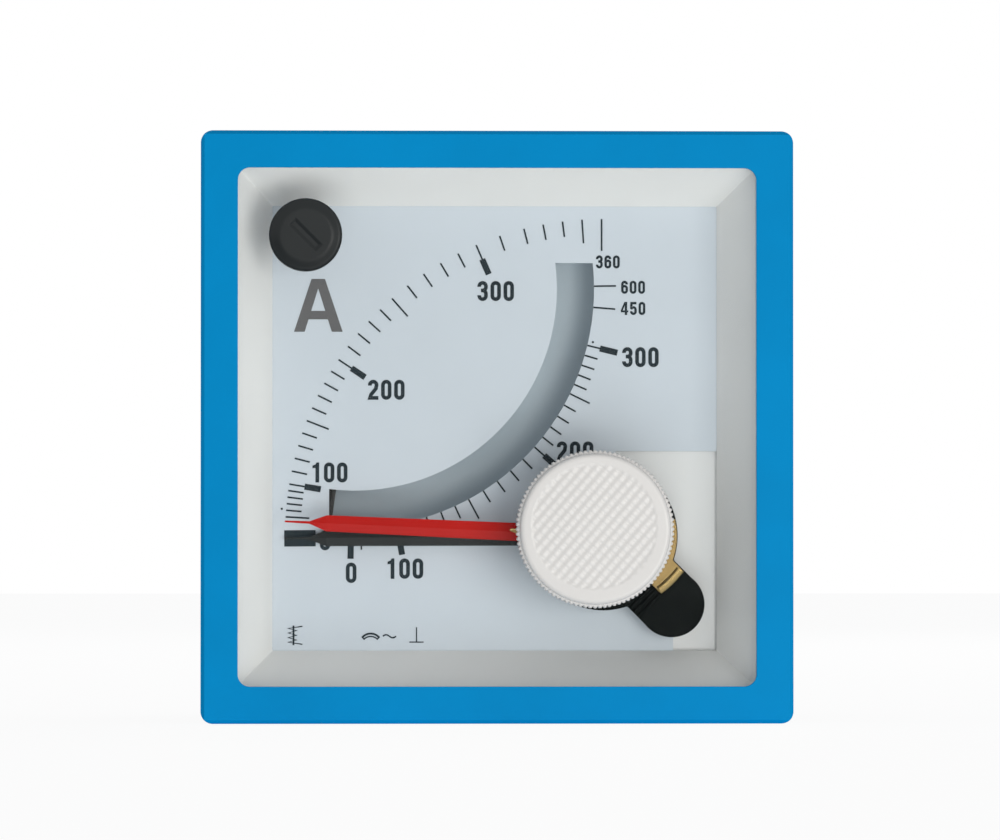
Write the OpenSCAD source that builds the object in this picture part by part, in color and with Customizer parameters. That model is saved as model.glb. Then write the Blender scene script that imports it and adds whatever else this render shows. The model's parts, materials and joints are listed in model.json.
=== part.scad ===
// Square panel meter with two movements behind one window.
// A slow bimetal movement drives a black pointer that carries a red
// drag pointer up the outer scale. A quick moving iron movement swings
// its own pointer behind an arc-shaped slot in the dial.
// X is to the right, Z is up and the front looks towards -Y.
// The origin is the centre of the front frame's rear face.

/* [Front frame] */
// Outside width and height of the front frame
front_size = 72; // [68:0.5:78]
// Depth of the front frame in front of the panel
frame_depth = 6; // [5.8:0.1:8]
// Width of the frame's face round the sight opening
frame_border = 4.5; // [4:0.1:5]
// Corner radius of the front frame
frame_corner = 1.5; // [0.5:0.1:2.5]
// Corner radius of the sight opening
sight_corner = 1.5; // [0.5:0.1:2.5]
// Thickness of the lip that holds the window
lip_t = 0.8; // [0.6:0.1:1.2]
// Chamfer along the front frame's outer edge
edge_chamfer = 0.45; // [0.2:0.05:0.8]

/* [Window and mask] */
// Window thickness
window_t = 1.5; // [1.2:0.1:2]
// How far the window reaches under the lip
window_lap = 1.2; // [0.8:0.1:1.5]
// Width of each sloping wall of the mask
mask_slant = 4.3; // [3.8:0.1:5]
// Thickness of the mask flange
mask_t = 0.8; // [0.6:0.1:1]

/* [Case] */
// How far the case lies inside the front frame on each side
case_inset = 3; // [2.5:0.25:3.5]
// Depth of the case behind the panel
case_depth = 53; // [52:1:60]
// Wall thickness of the case
case_wall = 1.8; // [1.4:0.1:2.2]
// Radius of the two screw bosses in the case
boss_r = 3; // [2.6:0.1:3.4]

/* [Dial] */
// Depth of the dial face behind the panel's front
dial_y = 4.2; // [3.9:0.1:4.4]
// Dial sheet thickness
dial_t = 0.6; // [0.4:0.1:0.7]
// Thickness of the printed marks
ink_t = 0.06; // [0.04:0.01:0.1]
// Width of a fine scale mark
tick_w = 0.2; // [0.15:0.01:0.3]
// Width of a bold scale block
block_w = 0.75; // [0.5:0.05:1]

/* [Demand movement] */
// Distance of the bimetal axis from the mask's right and lower edges
demand_inset = 14; // [13.6:0.1:14.2]
// Gap between the outer scale and the mask's left edge
scale_margin = 1.5; // [1:0.1:2.4]
// Outer radius of the bimetal spirals
spiral_r = 11; // [9:0.5:11]
// Width of the bimetal strip
spiral_w = 5; // [4:0.5:6]
// Thickness of the bimetal strip
spiral_t = 0.4; // [0.3:0.05:0.6]
// Turns in each bimetal spiral
spiral_turns = 5; // [4:1:6]

/* [Pointers] */
// Half width of a wide pointer at its root
blade_root = 1.15; // [0.9:0.05:1.3]
// Half width of a wide pointer at its shoulder
blade_shoulder = 0.98; // [0.8:0.02:1.1]
// Pointer sheet thickness
blade_t = 0.25; // [0.2:0.05:0.3]
// Angle of the black pointer below the level line at rest, in degrees
demand_rest = 0.45; // [0:0.05:0.8]
// Angle of the red pointer ahead of zero, in degrees
drag_rest = 2.6; // [2.6:0.1:6]

/* [Reset knob] */
// How far the reset knob lies left of the bimetal axis
reset_left = 1.4; // [1:0.1:1.6]
// How far the reset knob lies above the bimetal axis
reset_up = 0.8; // [0.4:0.1:1]
// Reset knob diameter over the knurl
reset_d = 19.2; // [17:0.1:19.4]
// Teeth in the knurl
reset_teeth = 100; // [60:4:120]
// Spacing of the cross cut grip ridges
grip_pitch = 1; // [0.8:0.05:1.4]
// Turn of the reset knob from its parked place, in degrees
reset_park = 60; // [50:1:66]

/* [Zero knob] */
// Distance of the zero adjuster from the mask's left and upper edges
zero_inset = 3.9; // [3.5:0.1:4.3]
// Zero adjuster head diameter
zero_d = 8.9; // [8:0.1:9.4]
// Throw of the eccentric pin
zero_throw = 0.9; // [0.6:0.05:1]

/* [Moving iron movement] */
// Distance of the moving iron axis from the mask's left and upper edges
iron_inset = 10.1; // [9.9:0.1:10.3]
// Gap between the dial slot and the mask's right edge
slot_margin = 15; // [14.9:0.1:15.4]
// Width of the dial slot
slot_w = 4.55; // [4:0.05:5]
// Pointer angle past straight down at rest, in degrees
iron_rest = 6.3; // [5:0.1:6.5]
// Bobbin flange height
bobbin_w = 22; // [20:0.5:22]

/* [Terminals] */
// Distance of each terminal stud from the middle
terminal_x = 12; // [10:0.5:14]
// Radius of the terminal studs
terminal_r = 2; // [1.5:0.25:2]
// Length of the studs behind the case
terminal_len = 14; // [13.5:0.5:18]

/* [Panel clamps] */
// Distance of each clamp stud inside the case's side
clamp_inset = 5.5; // [5.5:0.25:6.5]
// Panel thickness that the clamps stand at
panel_t = 5; // [4.6:0.1:6]
// Width of a clamp strap
strap_w = 10; // [8:0.5:12]
// Thickness of a clamp strap
strap_t = 1.5; // [1.2:0.1:1.6]

/* [Fits] */
// Gap round a piece that is dropped in place
seat_gap = 0.2; // [0.1:0.05:0.25]
// Gap round a piece that is pressed or plugged in
plug_gap = 0.1; // [0.05:0.05:0.15]
// Radial gap of a shaft that turns in a hole
run_gap = 0.05; // [0.03:0.01:0.08]

/* [Output] */
// Node to draw

/* [Hidden] */
$fn = 72;
over = 1;
cuts = 0.01;

// widths of the front that follow the frame
sight_opening = front_size - 2 * frame_border;
window_size = sight_opening + 2 * window_lap;
dial_show = sight_opening - 2 * mask_slant;
case_size = front_size - 2 * case_inset;

// layers from the front to the back
frame_front = -frame_depth;
window_front = frame_front + lip_t;
window_back = window_front + window_t;
case_front = window_back + mask_t;
case_back = case_depth;
case_floor = case_depth - case_wall;
case_in = case_size - 2 * case_wall;
dial_back = dial_y + dial_t;
plate_front = 9.6;
plate_back = 12;

// mask funnel
mask_front_half = sight_opening / 2;
mask_back_half = dial_show / 2;
mask_slope = (mask_front_half - mask_back_half) / (dial_y - window_back);
mask_wall = 0.9;
rebate = 1;
rebate_depth = 2.6;

// axes
demand_offset = mask_back_half - demand_inset;
iron_offset = mask_back_half - iron_inset;
zero_offset = mask_back_half - zero_inset;
bx = demand_offset;
bz = -demand_offset;
ix = -iron_offset;
iz = iron_offset;
zx = -zero_offset;
zz = zero_offset;
reset_x = bx - reset_left;
reset_z = bz + reset_up;

// reach of the scales, the pointers and the slot
demand_scale_r = demand_offset + mask_back_half - scale_margin;
demand_pointer_r = demand_scale_r + 0.1;
slot_r_out = iron_offset + mask_back_half - slot_margin;
slot_r_in = slot_r_out - slot_w;
iron_pointer_r = slot_r_out - 0.4;

// dial sheet
dial_size = case_in - 1.6;
post_at = dial_size / 2 - 1.2;
post_r = 1.5;
post_hole = 0.6;
cut_top = bz + 10.4;
cut_left = bx + 1.6;
cut_low = bx + 8.7;
cut_step = bz - 10.8;
slot_end = 3.2;
hub_hole = 3;
boss_at = case_in / 2 - 5.2;

// front bearing bridge
bridge_front = 1.2;
bridge_back = 2.6;
bridge_r = 9.1;
boss_front = 0.35;
boss_neck = 3;
shoulder_r = 4.4;
arm_r = 4.05;
arm_half = arm_r - 0.04;
arm_root = 5;
arm_len = 11.8;
arm_dir = -45;
post_dir = 45;
post_len = 6.2;
pillar_r = 1.6;
pillar_foot = 2.6;
rib_w = 0.35;
rib_h = 0.35;
rib_first = 8.4;
rib_pitch = 0.7;

// corner plate
corner_front = dial_back + 0.1;
corner_back = corner_front + 1;
rim_from = mask_back_half + 0.15;
rim_front = dial_y + 0.05;
corner_x = bx - 7;
corner_z = bz + 11.2;

// zero lever of the bimetal movement
lever_front = 0.45;
lever_back = 0.8;
lever_r = 8.95;
lever_hub_r = 6;
lever_side = 13;
leg_r = 7.2;
leg_t = 0.8;
leg_w = 3;
leg_dir = -5;
lever_swing = 8;
leg_gap = 0.4;
foot_y = 12.9;
tab_end = 9.9;
tab_w = 3.85;
tab_arc = 12.2;
tab_chamfer = 0.28;

// drag pointer
drag_y = 0;
hub_front = -1.9;
hub_back = 0.05;
pin_r = 0.5;
hub_r = 1.6;
flag_front = -1.55;
flag_back = -0.62;
flag_len = 11.3;
flag_w = 0.45;
flag_point = 0.8;

// reset knob and its finger
knob_back = window_front - 0.4;
knob_rim = 2.3;
knob_cap = 0.8;
knob_shaft = 2.5;
shaft_back = window_back + 0.12;
finger_t = 0.7;
finger_tip = -1;
finger_r = 7.3;
stake_r = 1.4;
grip_r = 7.55;
grip_cut = 0.28;
grip_deep = 0.16;

// demand pointer and spindle
demand_y = 3.5;
demand_hub_r = 1.8;
spindle_r = 0.6;
comp_front = 14.5;
act_front = 25;
shield_front = 21.6;
shield_t = 0.5;
anchor_back = case_floor - 7.2;
collar_r = 1.6;
yoke_t = 1.2;
yoke_w = 8;
bimetal_yoke_back = 36.4;
bimetal_leg = spiral_r + 2.6;
bearing_r = 1.5;

// moving iron side
iron_bridge_front = 5.2;
iron_bridge_back = 6;
iron_post_r = 8;
iron_post_dir = 40;
iron_eye_r = 2;
iron_column_r = 1.4;
iron_rivet_r = 0.7;
iron_boss_r = 1.7;
iron_lever_front = 6.1;
iron_lever_back = 6.4;
hair_front = 6.5;
hair_w = 0.35;
iron_blade_y = 7.9;
iron_hub_r = 1.3;
iron_spindle_r = 0.5;
coil_front = 13.5;
coil_back = 31.5;
vane_front = 17;
vane_back = 28;
vane_r = 4.6;
flange_t = 1.2;
tube_r = 5.6;
tube_t = 0.8;
wire_r = 10.4;
iron_yoke_back = 37;
bobbin_len = bobbin_w + 1.4;
chamber_r = 10.6;
chamber_back = coil_back + 3.1;
damper_hub_r = 1.3;
damper_front = coil_back + 1.1;
damper_back = coil_back + 2.7;
pin_head = 0.5;
zero_reach = (zero_offset - iron_offset) * sqrt(2) + zero_throw;
fork_gap = 0.07;

// rear fittings
nut_r = 4.04;
flange_nut_h = 4.2;
nut_chamfer = 0.35;
stud_head = 2;
link_t = 0.8;
link_reach = 7;
strap_gap = 0.3;
rib_stand = 0.8;
rib_wide = 1.2;
strap_foot = front_size / 2 - case_size / 2 - strap_gap;
strap_len = case_depth + 0.5 - 1;
clamp_stud_end = 72;
clamp_nut_r = 5;
clamp_nut_h = 4;
clamp_head_r = 3.2;
clamp_x = case_size / 2 - clamp_inset;

// scale laws as [value, pointer travel in degrees]
demand_law = [
    [0, 0], [50, 3.45], [100, 9.4], [150, 21.3], [200, 33.75], [250, 48.45], [300, 66.55], [320, 75.7], [360, 89.9]
];
iron_law = [[0, 0], [50, 2.35], [100, 11], [150, 29.3], [200, 49.6], [250, 65], [300, 77.35], [450, 86.6], [600, 91.7]];
iron_zero = -91;

// ---- helpers ----

// a flat outline drawn as seen from the front, from one depth to another
module slab(front, back) {
    translate([0, back, 0]) rotate([90, 0, 0]) linear_extrude(height = back - front) children();
}

// a round bar along Y
module rod(x, z, r, front, back) {
    translate([x, back, z]) rotate([90, 0, 0]) cylinder(h = back - front, r = r);
}

// a ring along Y
module ring(x, z, r_out, r_in, front, back) {
    difference() {
        rod(x, z, r_out, front, back);
        rod(x, z, r_in, front - over, back + over);
    }
}

// a box between two corners
module block(low, high) {
    translate(low) cube(high - low);
}

// puts a piece drawn along +X at an axis, turned anticlockwise as seen from the front
module at_axis(x, z, angle) {
    translate([x, 0, z]) rotate([0, -angle, 0]) children();
}

module rounded_square(size, r) {
    square([size - 2 * r, size], center = true);
    square([size, size - 2 * r], center = true);
    for (sx = [-1, 1], sz = [-1, 1]) {
        translate([sx * (size / 2 - r), sz * (size / 2 - r)]) circle(r);
    }
}

// a square funnel: half widths at its front and back
module funnel(front, back, half_front, half_back) {
    translate([0, back, 0]) rotate([90, 0, 0]) rotate([0, 0, 45])
        cylinder(h = back - front, r1 = half_back * sqrt(2), r2 = half_front * sqrt(2), $fn = 4);
}

// a toothed outline
module toothed(r, deep, teeth) {
    polygon([for (i = [0 : 2 * teeth - 1]) (r - (i % 2) * deep) * [cos(180 * i / teeth), sin(180 * i / teeth)]]);
}

// a flat spiral strip wound round an axis
module spiral(x, z, r_in, r_out, turns, strip, front, back, start, steps) {
    n = turns * steps;
    grow = (r_out - strip - r_in) / n;
    inner = [for (i = [0 : n]) (r_in + grow * i) * [cos(start + 360 * i / steps), sin(start + 360 * i / steps)]];
    outer = [for (i = [n : -1 : 0])
        (r_in + strip + grow * i) * [cos(start + 360 * i / steps), sin(start + 360 * i / steps)]];
    slab(front, back) translate([x, z]) polygon(concat(inner, outer));
}

// a folded sheet pointer along +X: stations are [distance, half width]
module blade(stations, sheet, back, fold) {
    last = len(stations) - 1;
    points = [for (s = stations) for (p = [
        [0, -1], [-fold, 0], [0, 1], [-1, 1], [-fold - 1, 0], [-1, -1]
    ]) [
        s[0],
        back + (p[0] >= -fold && p[0] != -1 ? p[0] * s[1] : (p[0] + 1) * s[1] - sheet),
        p[1] * s[1]
    ]];
    sides = [for (i = [0 : last - 1]) for (k = [0 : 5]) for (f = [
        [6 * i + k, 6 * i + 6 + (k + 1) % 6, 6 * i + (k + 1) % 6],
        [6 * i + k, 6 * i + 6 + k, 6 * i + 6 + (k + 1) % 6]
    ]) f];
    first_cap = [[1, 2, 3], [1, 3, 4], [1, 4, 5], [1, 5, 0]];
    last_cap = [for (f = first_cap) [for (v = [f[0], f[2], f[1]]) v + 6 * last]];
    polyhedron(points = points, faces = concat(sides, first_cap, last_cap));
}

// one scale mark between two radii
module mark(x, z, angle, r_in, r_out, w) {
    at_axis(x, z, angle) block([r_in, dial_y - ink_t, -w / 2], [r_out, dial_y, w / 2]);
}

// a screw along Y with its head towards the front, slotted
module screw(x, z, r, head_r, head_h, seat, tip) {
    difference() {
        union() {
            rod(x, z, head_r, seat - head_h, seat);
            rod(x, z, r, seat - cuts, tip);
        }
        translate([x, seat - head_h, z]) rotate([0, 45, 0])
            cube([2 * head_r + over, head_h, head_r * 0.28], center = true);
    }
}

// ---- front ----

module edge_cut() {
    s = edge_chamfer * sqrt(2);
    for (a = [0 : 90 : 270]) {
        rotate([0, a, 0]) translate([0, frame_front, front_size / 2]) rotate([45, 0, 0])
            cube([front_size + 2, s, s], center = true);
    }
}

module bezel_frame() {
    color([0, 0.5, 0.78])
    difference() {
        slab(frame_front, 0) rounded_square(front_size, frame_corner);
        slab(frame_front - over, window_front + cuts) rounded_square(sight_opening, sight_corner);
        slab(window_front, case_front + cuts) rounded_square(window_size + 2 * seat_gap, 0.8);
        slab(case_front, over) rounded_square(case_size + 2 * plug_gap, 1.2);
        edge_cut();
        for (a = [0 : 90 : 270]) {
            rotate([0, a, 0]) snap(plug_gap);
        }
    }
}

// the snap lug on one side of the case, grown by a gap
module snap(gap) {
    block([-2.5 - gap, -1.8 - gap, case_size / 2 - cuts], [2.5 + gap, -0.9 + gap, case_size / 2 + 0.35 + gap]);
}

module window() {
    color([0.9, 0.95, 0.95, 0.3])
    difference() {
        slab(window_front, window_back) rounded_square(window_size, 0.6);
        rod(reset_x, reset_z, knob_shaft + run_gap, window_front - over, window_back + over);
        rod(zx, zz, zero_shaft_r + run_gap, window_front - over, window_back + over);
    }
}

module mask() {
    color([0.82, 0.82, 0.8])
    difference() {
        union() {
            slab(window_back, case_front) rounded_square(window_size, 0.6);
            funnel(window_back, dial_y, mask_front_half + mask_wall, mask_back_half + mask_wall);
        }
        funnel(window_back - over, dial_y + over, mask_front_half + mask_slope * over, mask_back_half - mask_slope * over);
    }
}

// ---- dial ----

module slot_area(front, back, r_in, r_out, extra) {
    intersection() {
        ring(ix, iz, r_out, r_in, front, back);
        block([ix - slot_end - extra, front - over, iz - r_out - over], [ix + r_out + over, back + over, iz + slot_end + extra]);
    }
}

module dial_plate() {
    color([0.77, 0.82, 0.84])
    difference() {
        slab(dial_y, dial_back) square(dial_size, center = true);
        slot_area(dial_y - over, dial_back + over, slot_r_in, slot_r_out, 0);
        slab(dial_y - over, dial_back + over) polygon([
            [cut_left, cut_top], [front_size, cut_top], [front_size, -front_size], [cut_low, -front_size],
            [cut_low, cut_step], [cut_left, cut_step + cut_low - cut_left]
        ]);
        rod(bx, bz, hub_hole, dial_y - over, dial_back + over);
        rod(zx, zz, zero_throw + pin_head + 0.5, dial_y - over, dial_back + over);
        rod(arm_x, arm_z, pillar_foot + seat_gap, dial_y - over, dial_back + over);
        for (p = [[-1, 1], [1, 1], [-1, -1]]) {
            rod(p[0] * post_at, p[1] * post_at, post_hole + seat_gap, dial_y - over, dial_back + over);
        }
    }
}

module scale_marks() {
    color([0.2, 0.23, 0.25])
    union() {
        // outer scale
        mark(bx, bz, 180 + demand_rest, demand_scale_r - 3.75, demand_scale_r + 0.1, 2);
        for (v = [60 : 10 : 350]) {
            demand_mark(v, v % 50 == 0 && v % 100 != 0 ? 2.9 : 1.9, tick_w);
        }
        demand_mark(50, 2.9, tick_w);
        demand_mark(360, 3.9, tick_w);
        for (v = [100, 200, 300]) {
            mark(bx, bz, 180 - lookup(v, demand_law), demand_scale_r - 3.9, demand_scale_r - 1.9, block_w);
        }
        // inner scale
        for (v = [100 : 10 : 300]) {
            iron_mark(v, v % 50 == 0 && v % 100 != 0 ? 2.7 : 1.65);
        }
        for (v = [50, 450, 600]) {
            iron_mark(v, 2.7);
        }
        iron_mark(0, 1.65);
        for (v = [0, 100, 200, 300]) {
            mark(ix, iz, iron_zero + lookup(v, iron_law), slot_r_out + 1.6, slot_r_out + 3.8, block_w);
        }
    }
}

module demand_mark(v, long, w) {
    mark(bx, bz, 180 - lookup(v, demand_law), demand_scale_r - long, demand_scale_r, w);
}

module iron_mark(v, long) {
    mark(ix, iz, iron_zero + lookup(v, iron_law), slot_r_out, slot_r_out + long, tick_w);
}

module dial_screws() {
    color([0.7, 0.7, 0.7])
    for (p = [[-1, 1], [1, 1], [-1, -1]]) {
        screw(p[0] * post_at, p[1] * post_at, post_hole - cuts, 1.05, 0.6, dial_y, plate_front - 1);
    }
}

// ---- moulded plates ----

// centres of the two pillars under the front bridge
arm_x = bx + arm_len * cos(arm_dir);
arm_z = bz + arm_len * sin(arm_dir);
side_x = bx + post_len * cos(post_dir);
side_z = bz + post_len * sin(post_dir);

// the arc that the zero lever's leg sweeps
module leg_slot(front, back) {
    r_low = leg_r - leg_t / 2 - leg_gap;
    r_high = leg_r + leg_t / 2 + leg_gap;
    reach = lever_swing + asin((leg_w / 2 + leg_gap) / leg_r);
    intersection() {
        ring(bx, bz, r_high, r_low, front, back);
        slab(front, back) translate([bx, bz]) polygon([
            [0, 0], 14 * [cos(leg_dir - reach), sin(leg_dir - reach)],
            14 * [cos(leg_dir), sin(leg_dir)], 14 * [cos(leg_dir + reach), sin(leg_dir + reach)]
        ]);
    }
}

module corner_plate() {
    color([0.8, 0.81, 0.81])
    difference() {
        union() {
            block([corner_x, corner_front, -dial_size / 2], [dial_size / 2, corner_back, corner_z]);
            // rim that closes the gap behind the mask where the dial is cut away
            block([rim_from, rim_front, -dial_size / 2], [dial_size / 2, corner_back, cut_top - seat_gap]);
            block([cut_low + seat_gap, rim_front, -dial_size / 2], [dial_size / 2, corner_back, -rim_from]);
            rod(arm_x, arm_z, pillar_foot, corner_back - cuts, plate_front);
            rod(side_x, side_z, pillar_foot, corner_back - cuts, plate_front);
        }
        rod(bx, bz, hub_hole, corner_front - over, corner_back + over);
        rod(arm_x, arm_z, pillar_r + plug_gap, corner_front - over, plate_front + over);
        rod(side_x, side_z, pillar_r + plug_gap, corner_front - over, plate_front + over);
        leg_slot(corner_front - over, corner_back + over);
    }
}

// the groove behind the dial slot
trough_r = (slot_r_in + slot_r_out) / 2;
trough_half = 3.3;
trough_rise = 8.4;

module movement_plate() {
    color([0.72, 0.73, 0.74])
    difference() {
        union() {
            slab(plate_front, plate_back) square(case_in - 0.8, center = true);
            slot_area(trough_rise, plate_front + cuts, trough_r - trough_half - 0.6, trough_r + trough_half + 0.6, 1.6);
            for (p = [[-1, 1], [1, 1], [-1, -1]]) {
                rod(p[0] * post_at, p[1] * post_at, post_r, dial_back, plate_front + cuts);
            }
        }
        // groove
        intersection() {
            translate([ix, trough_rise - 0.9, iz]) rotate([90, 0, 0])
                rotate_extrude() translate([trough_r, 0]) circle(sqrt(pow(trough_half, 2) + 0.81));
            block([ix - slot_end - 1, 0, iz - slot_r_out - 5], [ix + slot_r_out + 5, plate_back, iz + slot_end + 1]);
        }
        for (p = [[-1, 1], [1, 1], [-1, -1]]) {
            rod(p[0] * post_at, p[1] * post_at, post_hole, dial_back - over, plate_front - 0.6);
        }
        rod(ix, iz, hub_hole, plate_front - over, plate_back + over);
        rod(bx, bz, hub_hole, plate_front - over, plate_back + over);
        leg_slot(plate_front - over, plate_back + over);
        for (s = [-1, 1]) {
            rod(s * boss_at, s * boss_at, 1.6, plate_front - over, plate_back + over);
            iron_post_hole(s);
        }
        rod(arm_x, arm_z, 1.1, plate_front - over, plate_back + over);
        rod(side_x, side_z, 1.1, plate_front - over, plate_back + over);
        bimetal_legs(plug_gap);
        iron_legs(plug_gap);
    }
}

module plate_screws() {
    color([0.6, 0.6, 0.6])
    for (s = [-1, 1]) {
        screw(s * boss_at, s * boss_at, 1.5, 2.7, 1.6, plate_front, plate_back + 8);
    }
}

module case() {
    color([0.1, 0.1, 0.11])
    difference() {
        union() {
            slab(case_front, case_back) rounded_square(case_size, 1.2);
            for (a = [0 : 90 : 270]) {
                rotate([0, a, 0]) snap(0);
            }
            for (sx = [-1, 1], sz = [-1, 1]) {
                strap_rib(sx, sz);
            }
        }
        difference() {
            slab(case_front - over, case_floor) square(case_in, center = true);
            for (s = [-1, 1]) {
                case_boss(s);
            }
        }
        slab(case_front - over, case_front + rebate_depth) square(case_in + 2 * rebate, center = true);
        for (s = [-1, 1]) {
            rod(s * boss_at, s * boss_at, 1.5, plate_back - over, plate_back + 10);
            rod(s * terminal_x, 0, terminal_r + plug_gap, case_floor - over, case_back + over);
            rod(s * clamp_x, 0, terminal_r + plug_gap, case_floor - over, case_back + over);
        }
    }
}

// a boss in one corner, joined to both walls
module case_boss(s) {
    rod(s * boss_at, s * boss_at, boss_r, plate_back, case_floor + over);
    x = s * boss_at;
    far = s * case_size / 2;
    block([min(x, far), plate_back, min(x, far)], [max(x, far), case_floor + over, max(x, far)]);
}

// the two ribs that keep a clamp strap straight
module strap_rib(sx, sz) {
    x = sx * (case_size / 2 + rib_stand - rib_wide / 2);
    z = sz * (strap_w / 2 + strap_gap + rib_wide / 2);
    translate([x, case_depth * 0.57, z]) cube([rib_wide, case_depth * 0.75, rib_wide], center = true);
}

// ---- reset knob ----

module reset_knob() {
    color([0.93, 0.92, 0.9])
    difference() {
        union() {
            slab(knob_back - knob_rim, knob_back) translate([reset_x, reset_z]) toothed(reset_d / 2, 0.22, reset_teeth);
            translate([reset_x, knob_back - knob_rim + cuts, reset_z]) rotate([90, 0, 0]) rotate_extrude() knob_profile();
            rod(reset_x, reset_z, knob_shaft, knob_back - cuts, shaft_back);
            rod(reset_x, reset_z, stake_r, shaft_back - cuts, shaft_back + finger_t + 0.25);
        }
        grip_cuts();
    }
}

// half section of the raised cap with its rounded edge
module knob_profile() {
    cap_r = reset_d / 2 - 0.65;
    square([cap_r, knob_cap - 0.5]);
    square([cap_r - 0.5, knob_cap]);
    translate([cap_r - 0.5, knob_cap - 0.5]) circle(0.5);
}

// deep grooves one way and shallow ones across them, which leave ridges of square pads
module grip_cuts() {
    front = knob_back - knob_rim - knob_cap + cuts;
    n = floor(grip_r / grip_pitch);
    intersection() {
        rod(reset_x, reset_z, grip_r, front - over, front + grip_deep);
        translate([reset_x, front + grip_deep / 2, reset_z]) union() {
            for (i = [-n : n]) {
                rotate([0, -45, 0]) translate([0, 0, i * grip_pitch]) cube([3 * grip_r, grip_deep * 2, grip_cut], center = true);
                rotate([0, 45, 0]) translate([0, -grip_deep / 2, i * grip_pitch]) cube([3 * grip_r, grip_deep * 2, grip_cut], center = true);
            }
        }
    }
}

module reset_finger() {
    color([0.85, 0.84, 0.8])
    difference() {
        union() {
            rod(reset_x, reset_z, 3.2, shaft_back, shaft_back + finger_t);
            at_axis(reset_x, reset_z, reset_park) {
                block([0, shaft_back, -0.8], [finger_r + 0.7, shaft_back + finger_t, 0.8]);
                block([finger_r - 0.7, shaft_back, -0.8], [finger_r + 0.7, finger_tip, 0.8]);
            }
        }
        rod(reset_x, reset_z, stake_r, shaft_back - over, shaft_back + finger_t + over);
    }
}

// ---- zero knob ----

zero_shaft_r = 1.95;
zero_neck_r = 1.5;

module zero_knob() {
    head = 1.6;
    back = window_front - 0.2;
    color([0.12, 0.13, 0.13])
    difference() {
        union() {
            translate([zx, back, zz]) rotate([90, 0, 0]) rotate_extrude() zero_profile(head);
            rod(zx, zz, zero_shaft_r, back - cuts, window_back + 0.1);
            rod(zx, zz, zero_neck_r, window_back, 3.4);
            at_axis(zx, zz, 135) rod(zero_throw, 0, pin_head, 3.4 - cuts, iron_lever_back + 0.1);
        }
        translate([zx, back - head, zz]) rotate([0, 45, 0]) cube([4.3, 1.6, 0.85], center = true);
    }
}

module zero_profile(h) {
    r = zero_d / 2;
    square([r, h - 0.6]);
    square([r - 0.6, h]);
    translate([r - 0.6, h - 0.6]) circle(0.6);
}

module zero_clip() {
    color([0.6, 0.6, 0.62])
    difference() {
        ring(zx, zz, 2.7, zero_neck_r, window_back + 0.15, window_back + 0.55);
        block([zx - 0.9, window_back, zz - 4], [zx + 0.9, window_back + 1, zz]);
    }
}

// ---- front bridge and drag pointer ----

module pivot_bridge() {
    color([0.1, 0.11, 0.11])
    difference() {
        union() {
            rod(bx, bz, bridge_r, bridge_front, bridge_back);
            rod(bx, bz, shoulder_r, lever_back + 0.05, bridge_back);
            rod(bx, bz, boss_neck, boss_front, bridge_back);
            at_axis(bx, bz, arm_dir) {
                slab(bridge_front, bridge_back) polygon([
                    [arm_root, -arm_half], [arm_len - 0.3, -arm_half], [arm_len - 0.3, arm_half], [arm_root, arm_half]
                ]);
                for (r = [rib_first : rib_pitch : rib_first + 2 * rib_pitch]) {
                    block([r, bridge_front - rib_h, -arm_half], [r + rib_w, bridge_front + cuts, -0.1]);
                }
            }
            rod(arm_x, arm_z, arm_r, bridge_front, bridge_back);
            bridge_pillar(arm_x, arm_z);
            bridge_pillar(side_x, side_z);
        }
        rod(bx, bz, bearing_r, boss_front - over, bridge_back + over);
        leg_slot(bridge_front - over, bridge_back + over);
        rod(arm_x, arm_z, 0.8, bridge_back + 1, plate_front + over);
        rod(side_x, side_z, 0.8, bridge_back + 1, plate_front + over);
    }
}

module bridge_pillar(x, z) {
    rod(x, z, pillar_foot, bridge_back - cuts, corner_front);
    rod(x, z, pillar_r, bridge_back, plate_front);
}

module bridge_screws() {
    color([0.7, 0.7, 0.7])
    for (p = [[arm_x, arm_z], [side_x, side_z]]) {
        translate([0, 2 * plate_back, 0]) mirror([0, 1, 0])
            screw(p[0], p[1], 0.8, 1.6, 0.9, plate_back, 2 * plate_back - bridge_back - 1.4);
    }
}

module pivot_screw() {
    color([0.8, 0.66, 0.35])
    difference() {
        union() {
            rod(bx, bz, bearing_r, boss_front - 0.2, bridge_back + 0.1);
            rod(bx, bz, pin_r, hub_front - 0.35, boss_front);
        }
        translate([bx, bridge_back + 0.1 + cuts, bz]) rotate([90, 0, 0]) cylinder(h = 0.7, r1 = 0.6, r2 = 0);
    }
}

module friction_washer() {
    color([0.8, 0.8, 0.82])
    difference() {
        rod(bx, bz, 3.7, boss_front - 0.25, boss_front - 0.05);
        rod(bx, bz, bearing_r + 0.05, boss_front - over, boss_front + over);
        for (a = [0 : 60 : 300]) {
            at_axis(bx, bz, a) block([2.6, boss_front - over, -0.3], [5, boss_front + over, 0.3]);
        }
    }
}

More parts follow.
